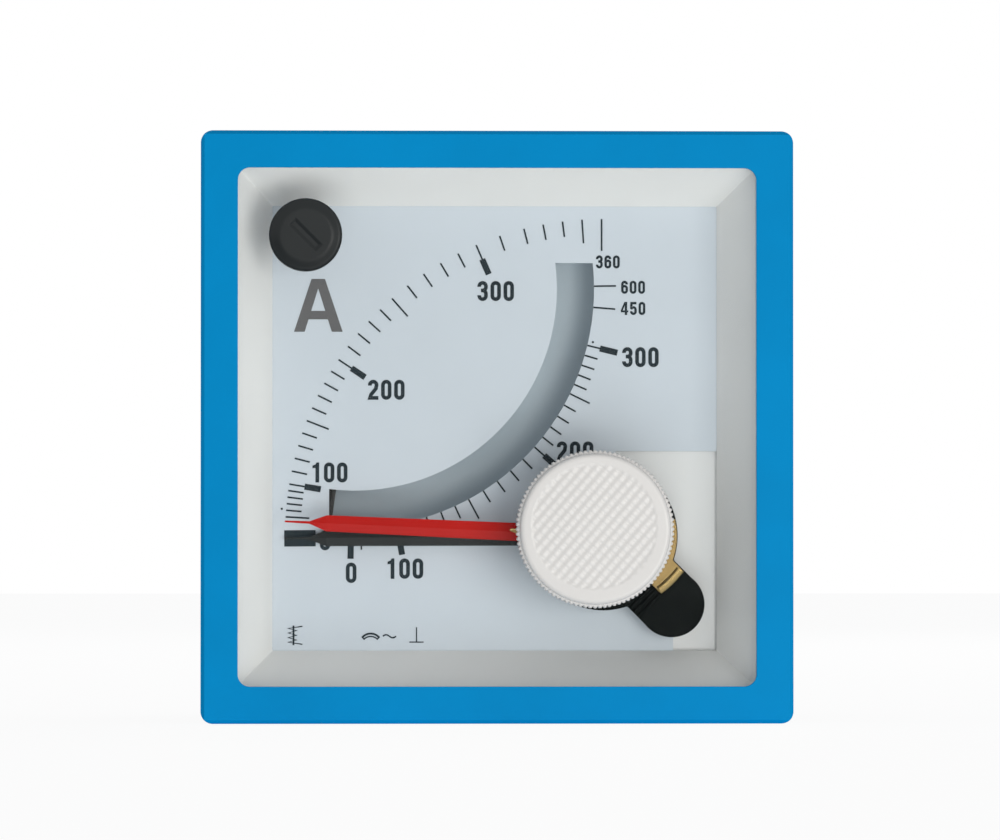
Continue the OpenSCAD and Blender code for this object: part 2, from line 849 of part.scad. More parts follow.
module bimetal_zero_lever() {
    color([0.76, 0.6, 0.3])
    difference() {
        union() {
            rod(bx, bz, lever_hub_r, lever_front, lever_back);
            intersection() {
                rod(bx, bz, lever_r, lever_front, lever_back);
                slab(lever_front - over, lever_back + over) translate([bx, bz]) polygon([
                    [0, 0], 20 * [cos(arm_dir), sin(arm_dir)], 20 * [cos(leg_dir), sin(leg_dir)],
                    20 * [cos(lever_side), sin(lever_side)]
                ]);
            }
            // tab over the arm, with its end edge rounded off
            at_axis(bx, bz, arm_dir) intersection() {
                block([0, lever_front, 0], [tab_end + 1, lever_back, tab_w]);
                translate([tab_end - tab_arc + 0.2, 0, 2]) {
                    rod(0, 0, tab_arc, lever_front + tab_chamfer, lever_back);
                    translate([0, lever_front + tab_chamfer + cuts, 0]) rotate([90, 0, 0])
                        cylinder(h = tab_chamfer + cuts, r1 = tab_arc, r2 = tab_arc - tab_chamfer);
                }
            }
            // leg through the bridge to the spiral's outer end
            at_axis(bx, bz, leg_dir) {
                block([leg_r - leg_t / 2, lever_back - cuts, -leg_w / 2], [leg_r + leg_t / 2, foot_y, leg_w / 2]);
                block([leg_r - leg_t / 2, foot_y - 0.5, -leg_w / 2], [spiral_r + 0.6, foot_y, leg_w / 2]);
                block([spiral_r, foot_y - 0.5, -leg_w / 2], [spiral_r + 0.6, comp_front + spiral_w, leg_w / 2]);
            }
        }
        rod(bx, bz, boss_neck + run_gap, lever_front - over, lever_back + over);
    }
}

module drag_pointer() {
    color([0.75, 0.12, 0.12])
    difference() {
        union() {
            at_axis(bx, bz, 180 - drag_rest) wide_blade(drag_y);
            rod(bx, bz, 2.6, drag_y - blade_t, drag_y);
        }
        rod(bx, bz, hub_r, drag_y - over, drag_y + over);
    }
}

// the wide pointer with its arrow head and fine tip
module wide_blade(back) {
    blade([
        [1, blade_root], [demand_pointer_r - 5.1, blade_shoulder],
        [demand_pointer_r - 3, 0.16], [demand_pointer_r, 0.11]
    ], blade_t, back, 0.22);
}

module drag_hub() {
    color([0.8, 0.66, 0.35])
    difference() {
        union() {
            rod(bx, bz, hub_r, hub_front, hub_back);
            at_axis(bx, bz, 180 - drag_rest) slab(flag_front, flag_back) polygon([
                [1, -flag_w / 2], [flag_len - flag_point, -flag_w / 2], [flag_len, 0],
                [flag_len - flag_point, flag_w / 2], [1, flag_w / 2]
            ]);
        }
        rod(bx, bz, pin_r + run_gap, hub_front - over, hub_back + over);
    }
}

// ---- demand movement ----

module demand_pointer() {
    color([0.12, 0.12, 0.12])
    difference() {
        union() {
            at_axis(bx, bz, 180 + demand_rest) {
                wide_blade(demand_y);
                // carrier pin that stands forward beside the red pointer
                rod(12.2, 0, 0.3, drag_y + 0.15, demand_y - 0.1);
                block([-5.2, demand_y - blade_t, -0.35], [0, demand_y, 0.35]);
                rod(-5.2, 0, 1.1, demand_y - blade_t - 0.1, demand_y + 0.3);
            }
            rod(bx, bz, 2.6, demand_y - blade_t, demand_y);
        }
        rod(bx, bz, 1, demand_y - over, demand_y + over);
    }
}

module bimetal_spindle() {
    rear = act_front + spiral_w;
    color([0.75, 0.75, 0.72])
    union() {
        translate([bx, bridge_back + 0.5, bz]) rotate([90, 0, 0]) cylinder(h = 0.5, r1 = 0.45, r2 = 0.05);
        rod(bx, bz, 0.45, bridge_back + 0.5 - cuts, demand_y);
        rod(bx, bz, 1, demand_y - blade_t - 0.15, demand_y + cuts);
        rod(bx, bz, demand_hub_r, demand_y, demand_y + 1.2);
        rod(bx, bz, spindle_r, demand_y, bimetal_yoke_back - 2);
        rod(bx, bz, collar_r, comp_front, comp_front + spiral_w);
        rod(bx, bz, collar_r, act_front, rear);
        translate([bx, bimetal_yoke_back - 1.5, bz]) rotate([90, 0, 0]) cylinder(h = 0.5 + cuts, r1 = 0.05, r2 = spindle_r);
    }
}

module compensating_spiral() {
    color([0.7, 0.66, 0.58])
    spiral(bx, bz, collar_r + 0.4, spiral_r, spiral_turns, spiral_t, comp_front, comp_front + spiral_w, leg_dir, 36);
}

module active_spiral() {
    color([0.74, 0.68, 0.56])
    spiral(bx, bz, collar_r + 0.4, spiral_r, spiral_turns, spiral_t, act_front, act_front + spiral_w, anchor_dir, 36);
}

anchor_dir = 200;

module spiral_anchor() {
    color([0.8, 0.66, 0.35])
    at_axis(bx, bz, anchor_dir) block([spiral_r, act_front - 0.5, -1.5], [spiral_r + 1.4, anchor_back, 1.5]);
}

module heat_shield() {
    color([0.8, 0.81, 0.82])
    difference() {
        union() {
            rod(bx, bz, spiral_r + 0.8, shield_front, shield_front + shield_t);
            block([bx - 3, shield_front, bz - bimetal_leg], [bx + 3, shield_front + shield_t, bz + bimetal_leg]);
        }
        rod(bx, bz, collar_r + 0.4, shield_front - over, shield_front + shield_t + over);
    }
}

// the two legs of the bimetal yoke, which plug into the moulded plate
module bimetal_legs(gap) {
    for (s = [-1, 1]) {
        z = bz + s * (bimetal_leg + yoke_t / 2);
        block(
            [bx - yoke_w / 2 + 1.5 - gap, plate_front + 0.4 - gap, z - yoke_t / 2 - gap],
            [bx + yoke_w / 2 - 1.5 + gap, plate_back + cuts, z + yoke_t / 2 + gap]
        );
    }
}

module bimetal_yoke() {
    outer = bimetal_leg + yoke_t;
    color([0.72, 0.72, 0.74])
    difference() {
        union() {
            bimetal_legs(0);
            difference() {
                block([bx - yoke_w / 2, plate_back, bz - outer], [bx + yoke_w / 2, bimetal_yoke_back, bz + outer]);
                block(
                    [bx - yoke_w, plate_back - over, bz - bimetal_leg],
                    [bx + yoke_w, bimetal_yoke_back - yoke_t, bz + bimetal_leg]
                );
            }
        }
        rod(bx, bz, bearing_r, bimetal_yoke_back - 3, bimetal_yoke_back + over);
    }
}

// a bearing screw with its cup towards the front
module rear_bearing(x, z, yoke_back) {
    difference() {
        rod(x, z, bearing_r, yoke_back - yoke_t - 0.5, yoke_back + 1.2);
        translate([x, yoke_back - yoke_t + 0.2, z]) rotate([90, 0, 0]) cylinder(h = 0.7 + cuts, r1 = 0, r2 = 0.6);
        translate([x, yoke_back + 1.2, z]) cube([4, 0.8, 0.4], center = true);
    }
}

module bimetal_rear_bearing() {
    color([0.8, 0.66, 0.35]) rear_bearing(bx, bz, bimetal_yoke_back);
}

// ---- moving iron movement ----

module iron_post_hole(s) {
    a = iron_post_dir + (s > 0 ? 0 : 180);
    at_axis(ix, iz, a) rod(iron_post_r, 0, iron_rivet_r + plug_gap, plate_front - over, plate_back + over);
}

module iron_bridge() {
    color([0.72, 0.72, 0.74])
    difference() {
        union() {
            at_axis(ix, iz, iron_post_dir)
                block([-iron_post_r, iron_bridge_front, -2], [iron_post_r, iron_bridge_back, 2]);
            for (a = [iron_post_dir, iron_post_dir + 180]) {
                at_axis(ix, iz, a) {
                    rod(iron_post_r, 0, iron_eye_r, iron_bridge_front, iron_bridge_back);
                    rod(iron_post_r, 0, iron_column_r, iron_bridge_back - cuts, plate_front);
                    rod(iron_post_r, 0, iron_rivet_r, plate_front - cuts, plate_back + 0.4);
                }
            }
            rod(ix, iz, iron_boss_r, iron_bridge_front, iron_lever_back + 0.05);
        }
        rod(ix, iz, 1, iron_bridge_front - over, iron_lever_back + over);
    }
}

module iron_front_bearing() {
    color([0.8, 0.66, 0.35])
    difference() {
        rod(ix, iz, 1, iron_bridge_front, iron_lever_back + 0.1);
        translate([ix, iron_lever_back + 0.1 + cuts, iz]) rotate([90, 0, 0]) cylinder(h = 0.7, r1 = 0.6, r2 = 0);
    }
}

module iron_zero_lever() {
    prong = pin_head + fork_gap;
    color([0.76, 0.6, 0.3])
    difference() {
        union() {
            rod(ix, iz, 3, iron_lever_front, iron_lever_back);
            at_axis(ix, iz, 135) block([0, iron_lever_front, -1.4], [zero_reach + 1.2, iron_lever_back, 1.4]);
            at_axis(ix, iz, -45) {
                block([0, iron_lever_front, -0.7], [4.7, iron_lever_back, 0.7]);
                block([4.35, iron_lever_front, -0.7], [4.7, hair_front + hair_w, 0.7]);
            }
        }
        rod(ix, iz, iron_boss_r + run_gap, iron_lever_front - over, iron_lever_back + over);
        at_axis(ix, iz, 135) block([zero_reach - 1.4, 5, -prong], [zero_reach + 2, 8, prong]);
    }
}

module hairspring() {
    color([0.6, 0.62, 0.66])
    spiral(ix, iz, 1, 4.35, 4, 0.15, hair_front, hair_front + hair_w, -45, 24);
}

module iron_pointer() {
    color([0.1, 0.1, 0.1])
    difference() {
        union() {
            at_axis(ix, iz, -90 - iron_rest) {
                blade([[0.8, 0.6], [slot_r_in, 0.42], [iron_pointer_r, 0.3]], 0.3, iron_blade_y, 0.1);
                block([-5, iron_blade_y - 0.3, -0.3], [0, iron_blade_y, 0.3]);
                rod(-5, 0, 0.9, iron_blade_y - 0.4, iron_blade_y + 0.2);
            }
            rod(ix, iz, 2, iron_blade_y - 0.3, iron_blade_y);
        }
        rod(ix, iz, iron_hub_r, iron_blade_y - over, iron_blade_y + over);
    }
}

module iron_spindle() {
    color([0.75, 0.75, 0.72])
    union() {
        translate([ix, iron_lever_back + 0.5, iz]) rotate([90, 0, 0]) cylinder(h = 0.5, r1 = 0.45, r2 = 0.05);
        rod(ix, iz, iron_spindle_r, iron_lever_back + 0.5 - cuts, iron_yoke_back - 2);
        rod(ix, iz, iron_hub_r, iron_blade_y - 0.6, iron_blade_y + 0.6);
        translate([ix, iron_yoke_back - 1.5, iz]) rotate([90, 0, 0]) cylinder(h = 0.5 + cuts, r1 = 0.05, r2 = iron_spindle_r);
    }
}

module moving_iron() {
    color([0.5, 0.5, 0.52])
    union() {
        ring(ix, iz, iron_spindle_r + 0.8, iron_spindle_r, vane_front, vane_back);
        at_axis(ix, iz, -30) block([iron_spindle_r + 0.3, vane_front, -0.2], [vane_r - 0.3, vane_back, 0.2]);
        intersection() {
            ring(ix, iz, vane_r, vane_r - 0.4, vane_front, vane_back);
            slab(vane_front, vane_back) translate([ix, iz]) polygon([[0, 0], [9, -9], [9, 0]]);
        }
    }
}

module fixed_iron() {
    color([0.5, 0.5, 0.52])
    intersection() {
        ring(ix, iz, tube_r, tube_r - 0.45, vane_front - 1, vane_back + 1);
        slab(vane_front - 1, vane_back + 1) translate([ix, iz]) polygon([[0, 0], [9, -12], [14, 0], [9, 12]]);
    }
}

module coil_bobbin() {
    color([0.16, 0.16, 0.17])
    difference() {
        union() {
            rod(ix, iz, tube_r + tube_t, coil_front, coil_back);
            for (y = [coil_front, coil_back - flange_t]) {
                block([ix - bobbin_len / 2, y, iz - bobbin_w / 2], [ix + bobbin_len / 2, y + flange_t, iz + bobbin_w / 2]);
            }
        }
        rod(ix, iz, tube_r, coil_front - over, coil_back + over);
    }
}

module coil_winding() {
    color([0.72, 0.4, 0.2])
    ring(ix, iz, wire_r, tube_r + tube_t, coil_front + flange_t, coil_back - flange_t);
}

module iron_legs(gap) {
    for (s = [-1, 1]) {
        x = ix + s * (bobbin_len / 2 + yoke_t / 2);
        block(
            [x - yoke_t / 2 - gap, plate_front + 0.4 - gap, iz - yoke_w / 2 + 1.5 - gap],
            [x + yoke_t / 2 + gap, plate_back + cuts, iz + yoke_w / 2 - 1.5 + gap]
        );
    }
}

module iron_yoke() {
    half = bobbin_len / 2;
    color([0.72, 0.72, 0.74])
    difference() {
        union() {
            iron_legs(0);
            difference() {
                block(
                    [ix - half - yoke_t, plate_back, iz - yoke_w / 2],
                    [ix + half + yoke_t, iron_yoke_back, iz + yoke_w / 2]
                );
                block([ix - half, plate_back - over, iz - yoke_w], [ix + half, iron_yoke_back - yoke_t, iz + yoke_w]);
            }
        }
        rod(ix, iz, bearing_r, iron_yoke_back - 3, iron_yoke_back + over);
    }
}

module iron_rear_bearing() {
    color([0.8, 0.66, 0.35]) rear_bearing(ix, iz, iron_yoke_back);
}

module damper_vane() {
    color([0.82, 0.83, 0.85])
    union() {
        ring(ix, iz, damper_hub_r, iron_spindle_r, damper_front, damper_back);
        at_axis(ix, iz, 60) block([damper_hub_r - 0.3, damper_front, -0.2], [chamber_r - 1.2, damper_back, 0.2]);
    }
}

module damper_chamber() {
    color([0.85, 0.85, 0.83])
    union() {
        difference() {
            rod(ix, iz, chamber_r, coil_back, chamber_back);
            rod(ix, iz, chamber_r - 0.8, coil_back + 0.7, chamber_back + over);
            rod(ix, iz, 2.2, coil_back - over, chamber_back + over);
        }
        // end wall, past the vane's travel
        at_axis(ix, iz, 200) block([2.4, coil_back + 0.6, -0.5], [chamber_r - 0.5, chamber_back, 0.5]);
    }
}

// ---- rear fittings ----

module link_left() {
    y = case_floor - link_t;
    leg = ix + link_reach;
    color([0.75, 0.45, 0.25])
    difference() {
        union() {
            rod(-terminal_x, 0, 3.6, y, case_floor);
            block([leg - 2.5, y, 0], [leg + 2.5, case_floor, iz]);
            block([leg - 2.5, iron_yoke_back + 1.6, iz - link_t], [leg + 2.5, case_floor, iz]);
            block([-terminal_x - 1, y, 0], [leg, case_floor, 3.5]);
        }
        rod(-terminal_x, 0, terminal_r + plug_gap, y - over, case_floor + over);
    }
}

module link_right() {
    y = case_floor - link_t;
    ax = bx + (spiral_r + 0.7) * cos(anchor_dir);
    az = bz + (spiral_r + 0.7) * sin(anchor_dir);
    color([0.75, 0.45, 0.25])
    difference() {
        union() {
            rod(terminal_x, 0, 3.6, y, case_floor);
            block([ax - 2, y, az - 2], [ax + 2, case_floor, 2]);
            block([ax - 2, y, -2], [terminal_x, case_floor, 2]);
            block([ax - 2, anchor_back, az - 2], [ax + 2, anchor_back + link_t, az + 2]);
            block([ax - 2, anchor_back, az - 2], [ax + 2, case_floor, az - 2 + link_t]);
        }
        rod(terminal_x, 0, terminal_r + plug_gap, y - over, case_floor + over);
    }
}

// a stud with its hexagon head inside the case
module stud(x, head_r, head_back, end) {
    union() {
        slab(head_back - stud_head, head_back) translate([x, 0]) circle(r = head_r, $fn = 6);
        rod(x, 0, terminal_r, head_back - cuts, end - 0.4);
        translate([x, end, 0]) rotate([90, 0, 0]) cylinder(h = 0.4 + cuts, r1 = terminal_r - 0.4, r2 = terminal_r);
    }
}

// a hexagon nut on a stud, with a round washer face
module hex_nut(x, front) {
    difference() {
        union() {
            rod(x, 0, nut_r + 0.4, front, front + 0.8);
            intersection() {
                slab(front + 0.8 - cuts, front + flange_nut_h) translate([x, 0]) circle(r = nut_r, $fn = 6);
                nut_turning(x, front);
            }
        }
        rod(x, 0, terminal_r + run_gap, front - over, front + flange_nut_h + over);
    }
}

// the turned shape that takes the corners off a nut's rear end
module nut_turning(x, front) {
    rod(x, 0, nut_r + 1, front, front + flange_nut_h - nut_chamfer);
    translate([x, front + flange_nut_h, 0]) rotate([90, 0, 0])
        cylinder(h = nut_chamfer + cuts, r1 = nut_r - 1.7 * nut_chamfer, r2 = nut_r + 0.05);
}

module terminal_stud_left() {
    color([0.8, 0.66, 0.35]) stud(-terminal_x, nut_r, case_floor - link_t, case_back + terminal_len);
}

module terminal_stud_right() {
    color([0.8, 0.66, 0.35]) stud(terminal_x, nut_r, case_floor - link_t, case_back + terminal_len);
}

module lock_nut_left() {
    color([0.78, 0.64, 0.36]) hex_nut(-terminal_x, case_back);
}

module lock_nut_right() {
    color([0.78, 0.64, 0.36]) hex_nut(terminal_x, case_back);
}

module terminal_nut_left() {
    color([0.78, 0.64, 0.36]) hex_nut(-terminal_x, case_back + flange_nut_h + 0.2);
}

module terminal_nut_right() {
    color([0.78, 0.64, 0.36]) hex_nut(terminal_x, case_back + flange_nut_h + 0.2);
}

module clamp_stud_left() {
    color([0.75, 0.75, 0.77]) stud(-clamp_x, clamp_head_r, case_floor, clamp_stud_end);
}

module clamp_stud_right() {
    color([0.75, 0.75, 0.77]) stud(clamp_x, clamp_head_r, case_floor, clamp_stud_end);
}

// the strap on the right: a foot on the panel, a long side and a tail behind the case
module strap() {
    x = case_size / 2 + strap_gap;
    back = panel_t + strap_len + strap_t;
    color([0.7, 0.71, 0.73])
    difference() {
        union() {
            block([x, panel_t, -strap_w / 2], [x + strap_foot, panel_t + strap_t, strap_w / 2]);
            block([x, panel_t, -strap_w / 2], [x + strap_t, back, strap_w / 2]);
            block([clamp_x - 6, back - strap_t, -strap_w / 2], [x + strap_t, back, strap_w / 2]);
        }
        rod(clamp_x, 0, terminal_r + 0.3, back - strap_t - over, back + over);
        // round the outer bend
        difference() {
            block([x + strap_t - 1.5, back - 1.5, -strap_w], [x + strap_t + over, back + over, strap_w]);
            translate([x + strap_t - 1.5, back - 1.5, 0]) cylinder(h = 3 * strap_w, r = 1.5, center = true);
        }
    }
}

module clamp_strap_right() {
    strap();
}

module clamp_strap_left() {
    mirror([1, 0, 0]) strap();
}

// knurled round nut
module knurled_nut(x) {
    front = panel_t + strap_len + strap_t + 0.05;
    color([0.78, 0.64, 0.36])
    difference() {
        slab(front, front + clamp_nut_h) translate([x, 0]) toothed(clamp_nut_r, 0.3, 36);
        rod(x, 0, terminal_r + run_gap, front - over, front + clamp_nut_h + over);
    }
}

module clamp_nut_left() {
    knurled_nut(-clamp_x);
}

module clamp_nut_right() {
    knurled_nut(clamp_x);
}

// ---- assembly ----

bezel_frame();
window();
mask();
dial_plate();
scale_marks();
dial_screws();
corner_plate();
movement_plate();
plate_screws();
case();
reset_knob();
reset_finger();
zero_knob();
zero_clip();
pivot_bridge();
pivot_screw();
bridge_screws();
friction_washer();
bimetal_zero_lever();
drag_pointer();
drag_hub();
demand_pointer();
bimetal_spindle();
compensating_spiral();
active_spiral();
heat_shield();
bimetal_yoke();
bimetal_rear_bearing();
spiral_anchor();
iron_bridge();
iron_front_bearing();
iron_zero_lever();
hairspring();
iron_pointer();
iron_spindle();
moving_iron();
fixed_iron();
coil_bobbin();
coil_winding();
iron_yoke();
iron_rear_bearing();
damper_vane();
damper_chamber();
link_left();
link_right();
terminal_stud_left();
terminal_stud_right();
lock_nut_left();
lock_nut_right();
terminal_nut_left();
terminal_nut_right();
clamp_stud_left();
clamp_stud_right();
clamp_strap_left();
clamp_strap_right();
clamp_nut_left();
clamp_nut_right();
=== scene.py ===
# %% [markdown]
# # A square panel meter with two pointers and a red drag pointer
# The meter is fixed in a panel, so only its front is seen in use: a blue
# moulded frame, a clear window, a pale mask that leads the eye down to the
# dial, two black pointers, one red one and two knobs on the window. The CAD
# model already holds every solid at its real place and size. This lesson
# keeps those solids, gives them finishes, and adds what is too fine for the
# CAD: the printed numerals, the moulded grip of the knob, threads and the
# rolled edge of a brass tab.
#
# All lengths below are written in millimetres and turned into metres by MM,
# because the real parts are thought of in millimetres.

import json
from math import cos, radians, sin

import bmesh
import bpy
import numpy as np
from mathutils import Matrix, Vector
from mathutils.geometry import tessellate_polygon


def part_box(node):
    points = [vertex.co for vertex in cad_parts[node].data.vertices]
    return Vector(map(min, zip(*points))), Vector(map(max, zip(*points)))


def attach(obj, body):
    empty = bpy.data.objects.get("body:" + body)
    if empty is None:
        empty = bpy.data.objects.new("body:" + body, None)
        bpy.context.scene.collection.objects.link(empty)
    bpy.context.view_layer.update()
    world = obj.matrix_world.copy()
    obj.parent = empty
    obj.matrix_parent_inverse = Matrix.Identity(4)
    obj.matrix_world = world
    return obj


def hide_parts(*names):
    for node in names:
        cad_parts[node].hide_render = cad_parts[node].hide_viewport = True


MM = 0.001
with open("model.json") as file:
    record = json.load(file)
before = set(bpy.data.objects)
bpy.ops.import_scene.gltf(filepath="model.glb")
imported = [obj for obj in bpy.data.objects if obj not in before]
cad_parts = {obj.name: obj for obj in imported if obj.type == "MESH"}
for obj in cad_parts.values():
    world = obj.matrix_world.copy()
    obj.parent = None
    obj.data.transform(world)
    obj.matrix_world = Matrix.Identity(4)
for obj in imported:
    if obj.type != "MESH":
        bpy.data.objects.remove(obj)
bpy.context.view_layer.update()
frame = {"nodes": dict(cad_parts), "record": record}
nodes = frame["nodes"]

# %% [markdown]
# ## Where things are
# The axes of the pointers and knobs are read from the boxes of the CAD nodes
# that turn on them, so the new pieces sit where those nodes are. Printed
# figures and fine details have typed places and sizes in millimetres, and
# are changed by hand if the CAD model is resized.

# %% Axes and depths taken from the CAD nodes


def middle(node):
    """(x, z) of the middle of a node's box: half of lowest plus highest."""
    low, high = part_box(node)
    return (low.x + high.x) / 2, (low.z + high.z) / 2


front_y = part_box("bezel_frame")[0].y
floor_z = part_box("bezel_frame")[0].z
dial_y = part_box("dial_plate")[0].y
knob_low, knob_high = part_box("reset_knob")
knob_x, knob_z = middle("reset_knob")
knob_r = (knob_high.x - knob_low.x) / 2
axis_x, axis_z = middle("friction_washer")
body_of = {node: body for body, members in frame["record"]["behaviour"]["bodies"].items() for node in members}
print("dial face at", round(dial_y / MM, 2), "mm, knob radius", round(knob_r / MM, 2), "mm")

# %% [markdown]
# ## Camera
# A long lens from almost a metre away keeps the square front square. The
# camera stands two degrees to the left of the middle and one degree below
# it, which is why a little more of the mask's right wall shows than of its
# left one.

# %% Place the camera
CAMERA_AWAY = 927 * MM
CAMERA_LEFT, CAMERA_BELOW = 2.0, 1.0
AIM_RIGHT, AIM_UP = 0.3 * MM, 0.85 * MM

aim = Vector((AIM_RIGHT, front_y, AIM_UP))
toward = Vector(
    (
        -sin(radians(CAMERA_LEFT)) * cos(radians(CAMERA_BELOW)),
        -cos(radians(CAMERA_LEFT)) * cos(radians(CAMERA_BELOW)),
        -sin(radians(CAMERA_BELOW)),
    )
)
lens = bpy.data.cameras.new("camera")
lens.sensor_width = 36
lens.lens = 275
lens.clip_start = 0.01
lens.clip_end = 20
bpy.context.scene.view_settings.view_transform = "Standard"
camera = bpy.data.objects.new("camera", lens)
camera.location = aim + toward * CAMERA_AWAY
camera.rotation_euler = (-toward).to_track_quat("-Z", "Y").to_euler()
bpy.context.scene.collection.objects.link(camera)
bpy.context.scene.camera = camera
print("camera at", [round(v, 3) for v in camera.location])

# %% A helper for shader nodes
WHITE = (1, 1, 1, 1)


def add_math(tree, operation, values=()):
    """A Math node in a tree. values lists (input number, value) pairs."""
    made = tree.nodes.new("ShaderNodeMath")
    made.operation = operation
    for index, value in values:
        made.inputs[index].default_value = value
    return made


# %% [markdown]
# ## Light
# Studio light for a small instrument: a pale room all round, one soft key
# lamp from the lower right, a weaker one low in front so that the mask's
# upper wall is the brightest, and one behind for the case. The key lamp
# lights the mask's left wall and throws each knob's soft shadow up and to
# the left. Rays that reach the camera directly, by a mirror or through
# glass see a white backdrop, and all others see the dimmer room.

# %% World and lamps
world = bpy.data.worlds.new("studio")
bpy.context.scene.world = world
world.use_nodes = True
sky = world.node_tree
sky.nodes.clear()
sky_out = sky.nodes.new("ShaderNodeOutputWorld")
room = sky.nodes.new("ShaderNodeBackground")
room.inputs["Color"].default_value = (0.93, 0.96, 1.0, 1)
room.inputs["Strength"].default_value = 0.505
backdrop = sky.nodes.new("ShaderNodeBackground")
backdrop.inputs["Color"].default_value = WHITE
path = sky.nodes.new("ShaderNodeLightPath")
seen = add_math(sky, "MAXIMUM")
seen_too = add_math(sky, "MAXIMUM")
pick = sky.nodes.new("ShaderNodeMixShader")
sky.links.new(path.outputs["Is Camera Ray"], seen.inputs[0])
sky.links.new(path.outputs["Is Glossy Ray"], seen.inputs[1])
sky.links.new(seen.outputs[0], seen_too.inputs[0])
sky.links.new(path.outputs["Is Transmission Ray"], seen_too.inputs[1])
sky.links.new(seen_too.outputs[0], pick.inputs[0])
sky.links.new(room.outputs[0], pick.inputs[1])
sky.links.new(backdrop.outputs[0], pick.inputs[2])
sky.links.new(pick.outputs[0], sky_out.inputs[0])


def add_lamp(name, place, size, watts, colour):
    """A square area lamp at place, in metres, turned to face the origin."""
    data = bpy.data.lights.new(name, "AREA")
    data.size = size
    data.energy = watts
    data.color = colour
    lamp = bpy.data.objects.new(name, data)
    lamp.location = place
    lamp.rotation_euler = (-Vector(place)).to_track_quat("-Z", "Y").to_euler()
    bpy.context.scene.collection.objects.link(lamp)


add_lamp("key", (0.295, -0.70, -0.12), 0.42, 2.75, (1.0, 0.98, 0.95))
add_lamp("fill", (0.02, -0.75, -0.42), 0.5, 2.1, (0.96, 0.99, 1.0))
add_lamp("back", (0.35, 0.75, 0.55), 0.5, 2.5, (1.0, 1.0, 1.0))

# %% [markdown]
# ## Floor
# The meter rests on the lower edge of its frame on a pale sheet that melts
# into the white room. The floor lets the low key lamp shine through it, as
# a glass table would, but it still takes the meter's own soft shadow.

# %% Floor sheet
GLOW_SHARE = 0.93
sheet = bpy.data.meshes.new("floor")
reach = 3.0
corner_signs = [(-1, -1), (1, -1), (1, 1), (-1, 1)]
sheet.from_pydata([(i * reach, j * reach, floor_z) for i, j in corner_signs], [], [(0, 1, 2, 3)])
floor = bpy.data.objects.new("floor", sheet)
floor.visible_shadow = False
bpy.context.scene.collection.objects.link(floor)

paper = bpy.data.materials.new("floor_paper")
paper.use_nodes = True
tree = paper.node_tree
tree.nodes.clear()
paper_out = tree.nodes.new("ShaderNodeOutputMaterial")
matt = tree.nodes.new("ShaderNodeBsdfDiffuse")
matt.inputs["Color"].default_value = (0.9, 0.9, 0.9, 1)
glow = tree.nodes.new("ShaderNodeEmission")
glow.inputs["Color"].default_value = WHITE
ray = tree.nodes.new("ShaderNodeLightPath")
share = add_math(tree, "MULTIPLY", [(1, GLOW_SHARE)])
blend = tree.nodes.new("ShaderNodeMixShader")
tree.links.new(ray.outputs["Is Camera Ray"], share.inputs[0])
tree.links.new(share.outputs[0], blend.inputs[0])
tree.links.new(matt.outputs[0], blend.inputs[1])
tree.links.new(glow.outputs[0], blend.inputs[2])
tree.links.new(blend.outputs[0], paper_out.inputs[0])
sheet.materials.append(paper)

# %% [markdown]
# ## Effects that several finishes share
# Moulded plastic is never quite smooth or evenly coloured, and worked metal has
# a grain in one direction. Each effect is one node group with named sockets,
# and every finish sets it to its own scale and strength.

# %% A builder for node groups


def new_group(name, inputs, outputs):
    """An empty shader node group. inputs and outputs are lists of (name, socket type, default)."""
    group = bpy.data.node_groups.new(name, "ShaderNodeTree")
    for label, kind, start in inputs:
        socket = group.interface.new_socket(label, in_out="INPUT", socket_type=kind)
        socket.default_value = start
    for label, kind in outputs:
        group.interface.new_socket(label, in_out="OUTPUT", socket_type=kind)
    return group, group.nodes.new("NodeGroupInput"), group.nodes.new("NodeGroupOutput")


FLOAT, COLOUR, VECTOR = "NodeSocketFloat", "NodeSocketColor", "NodeSocketVector"

# %% [markdown]
# ### Grain
# A mould that was spark eroded leaves a fine pebbled skin. Two noises do
# it: a fine one becomes a bump, and a broad, faint one shifts the colour and
# the shine a little, as handling and age do.

# %% The grain group
grain, g_in, g_out = new_group(
    "moulded_grain",
    [
        ("Colour", COLOUR, (0.5, 0.5, 0.5, 1)),
        ("Shine", FLOAT, 0.5),
        ("Grain per mm", FLOAT, 4.0),
        ("Depth in mm", FLOAT, 0.004),
        ("Mottle", FLOAT, 0.05),
    ],
    [("Colour", COLOUR), ("Roughness", FLOAT), ("Normal", VECTOR)],
)
place = grain.nodes.new("ShaderNodeTexCoord")
per_metre = add_math(grain, "MULTIPLY", [(1, 1000)])
fine = grain.nodes.new("ShaderNodeTexNoise")
fine.inputs["Detail"].default_value = 2
bump = grain.nodes.new("ShaderNodeBump")
depth = add_math(grain, "MULTIPLY", [(1, MM)])
broad = grain.nodes.new("ShaderNodeTexNoise")
broad.inputs["Scale"].default_value = 90
broad.inputs["Detail"].default_value = 4
swing = grain.nodes.new("ShaderNodeMapRange")
swing.inputs["From Min"].default_value = 0.3
swing.inputs["From Max"].default_value = 0.7
swing.inputs["To Min"].default_value = -1
swing.inputs["To Max"].default_value = 1
step = add_math(grain, "MULTIPLY")
lift = add_math(grain, "ADD", [(1, 1)])
tint = grain.nodes.new("ShaderNodeVectorMath")
tint.operation = "SCALE"
dull = add_math(grain, "MULTIPLY_ADD", [(1, 0.5)])
join = grain.links.new
join(place.outputs["Object"], fine.inputs["Vector"])
join(place.outputs["Object"], broad.inputs["Vector"])
join(g_in.outputs["Grain per mm"], per_metre.inputs[0])
join(per_metre.outputs[0], fine.inputs["Scale"])
join(g_in.outputs["Depth in mm"], depth.inputs[0])
join(depth.outputs[0], bump.inputs["Distance"])
join(fine.outputs["Fac"], bump.inputs["Height"])
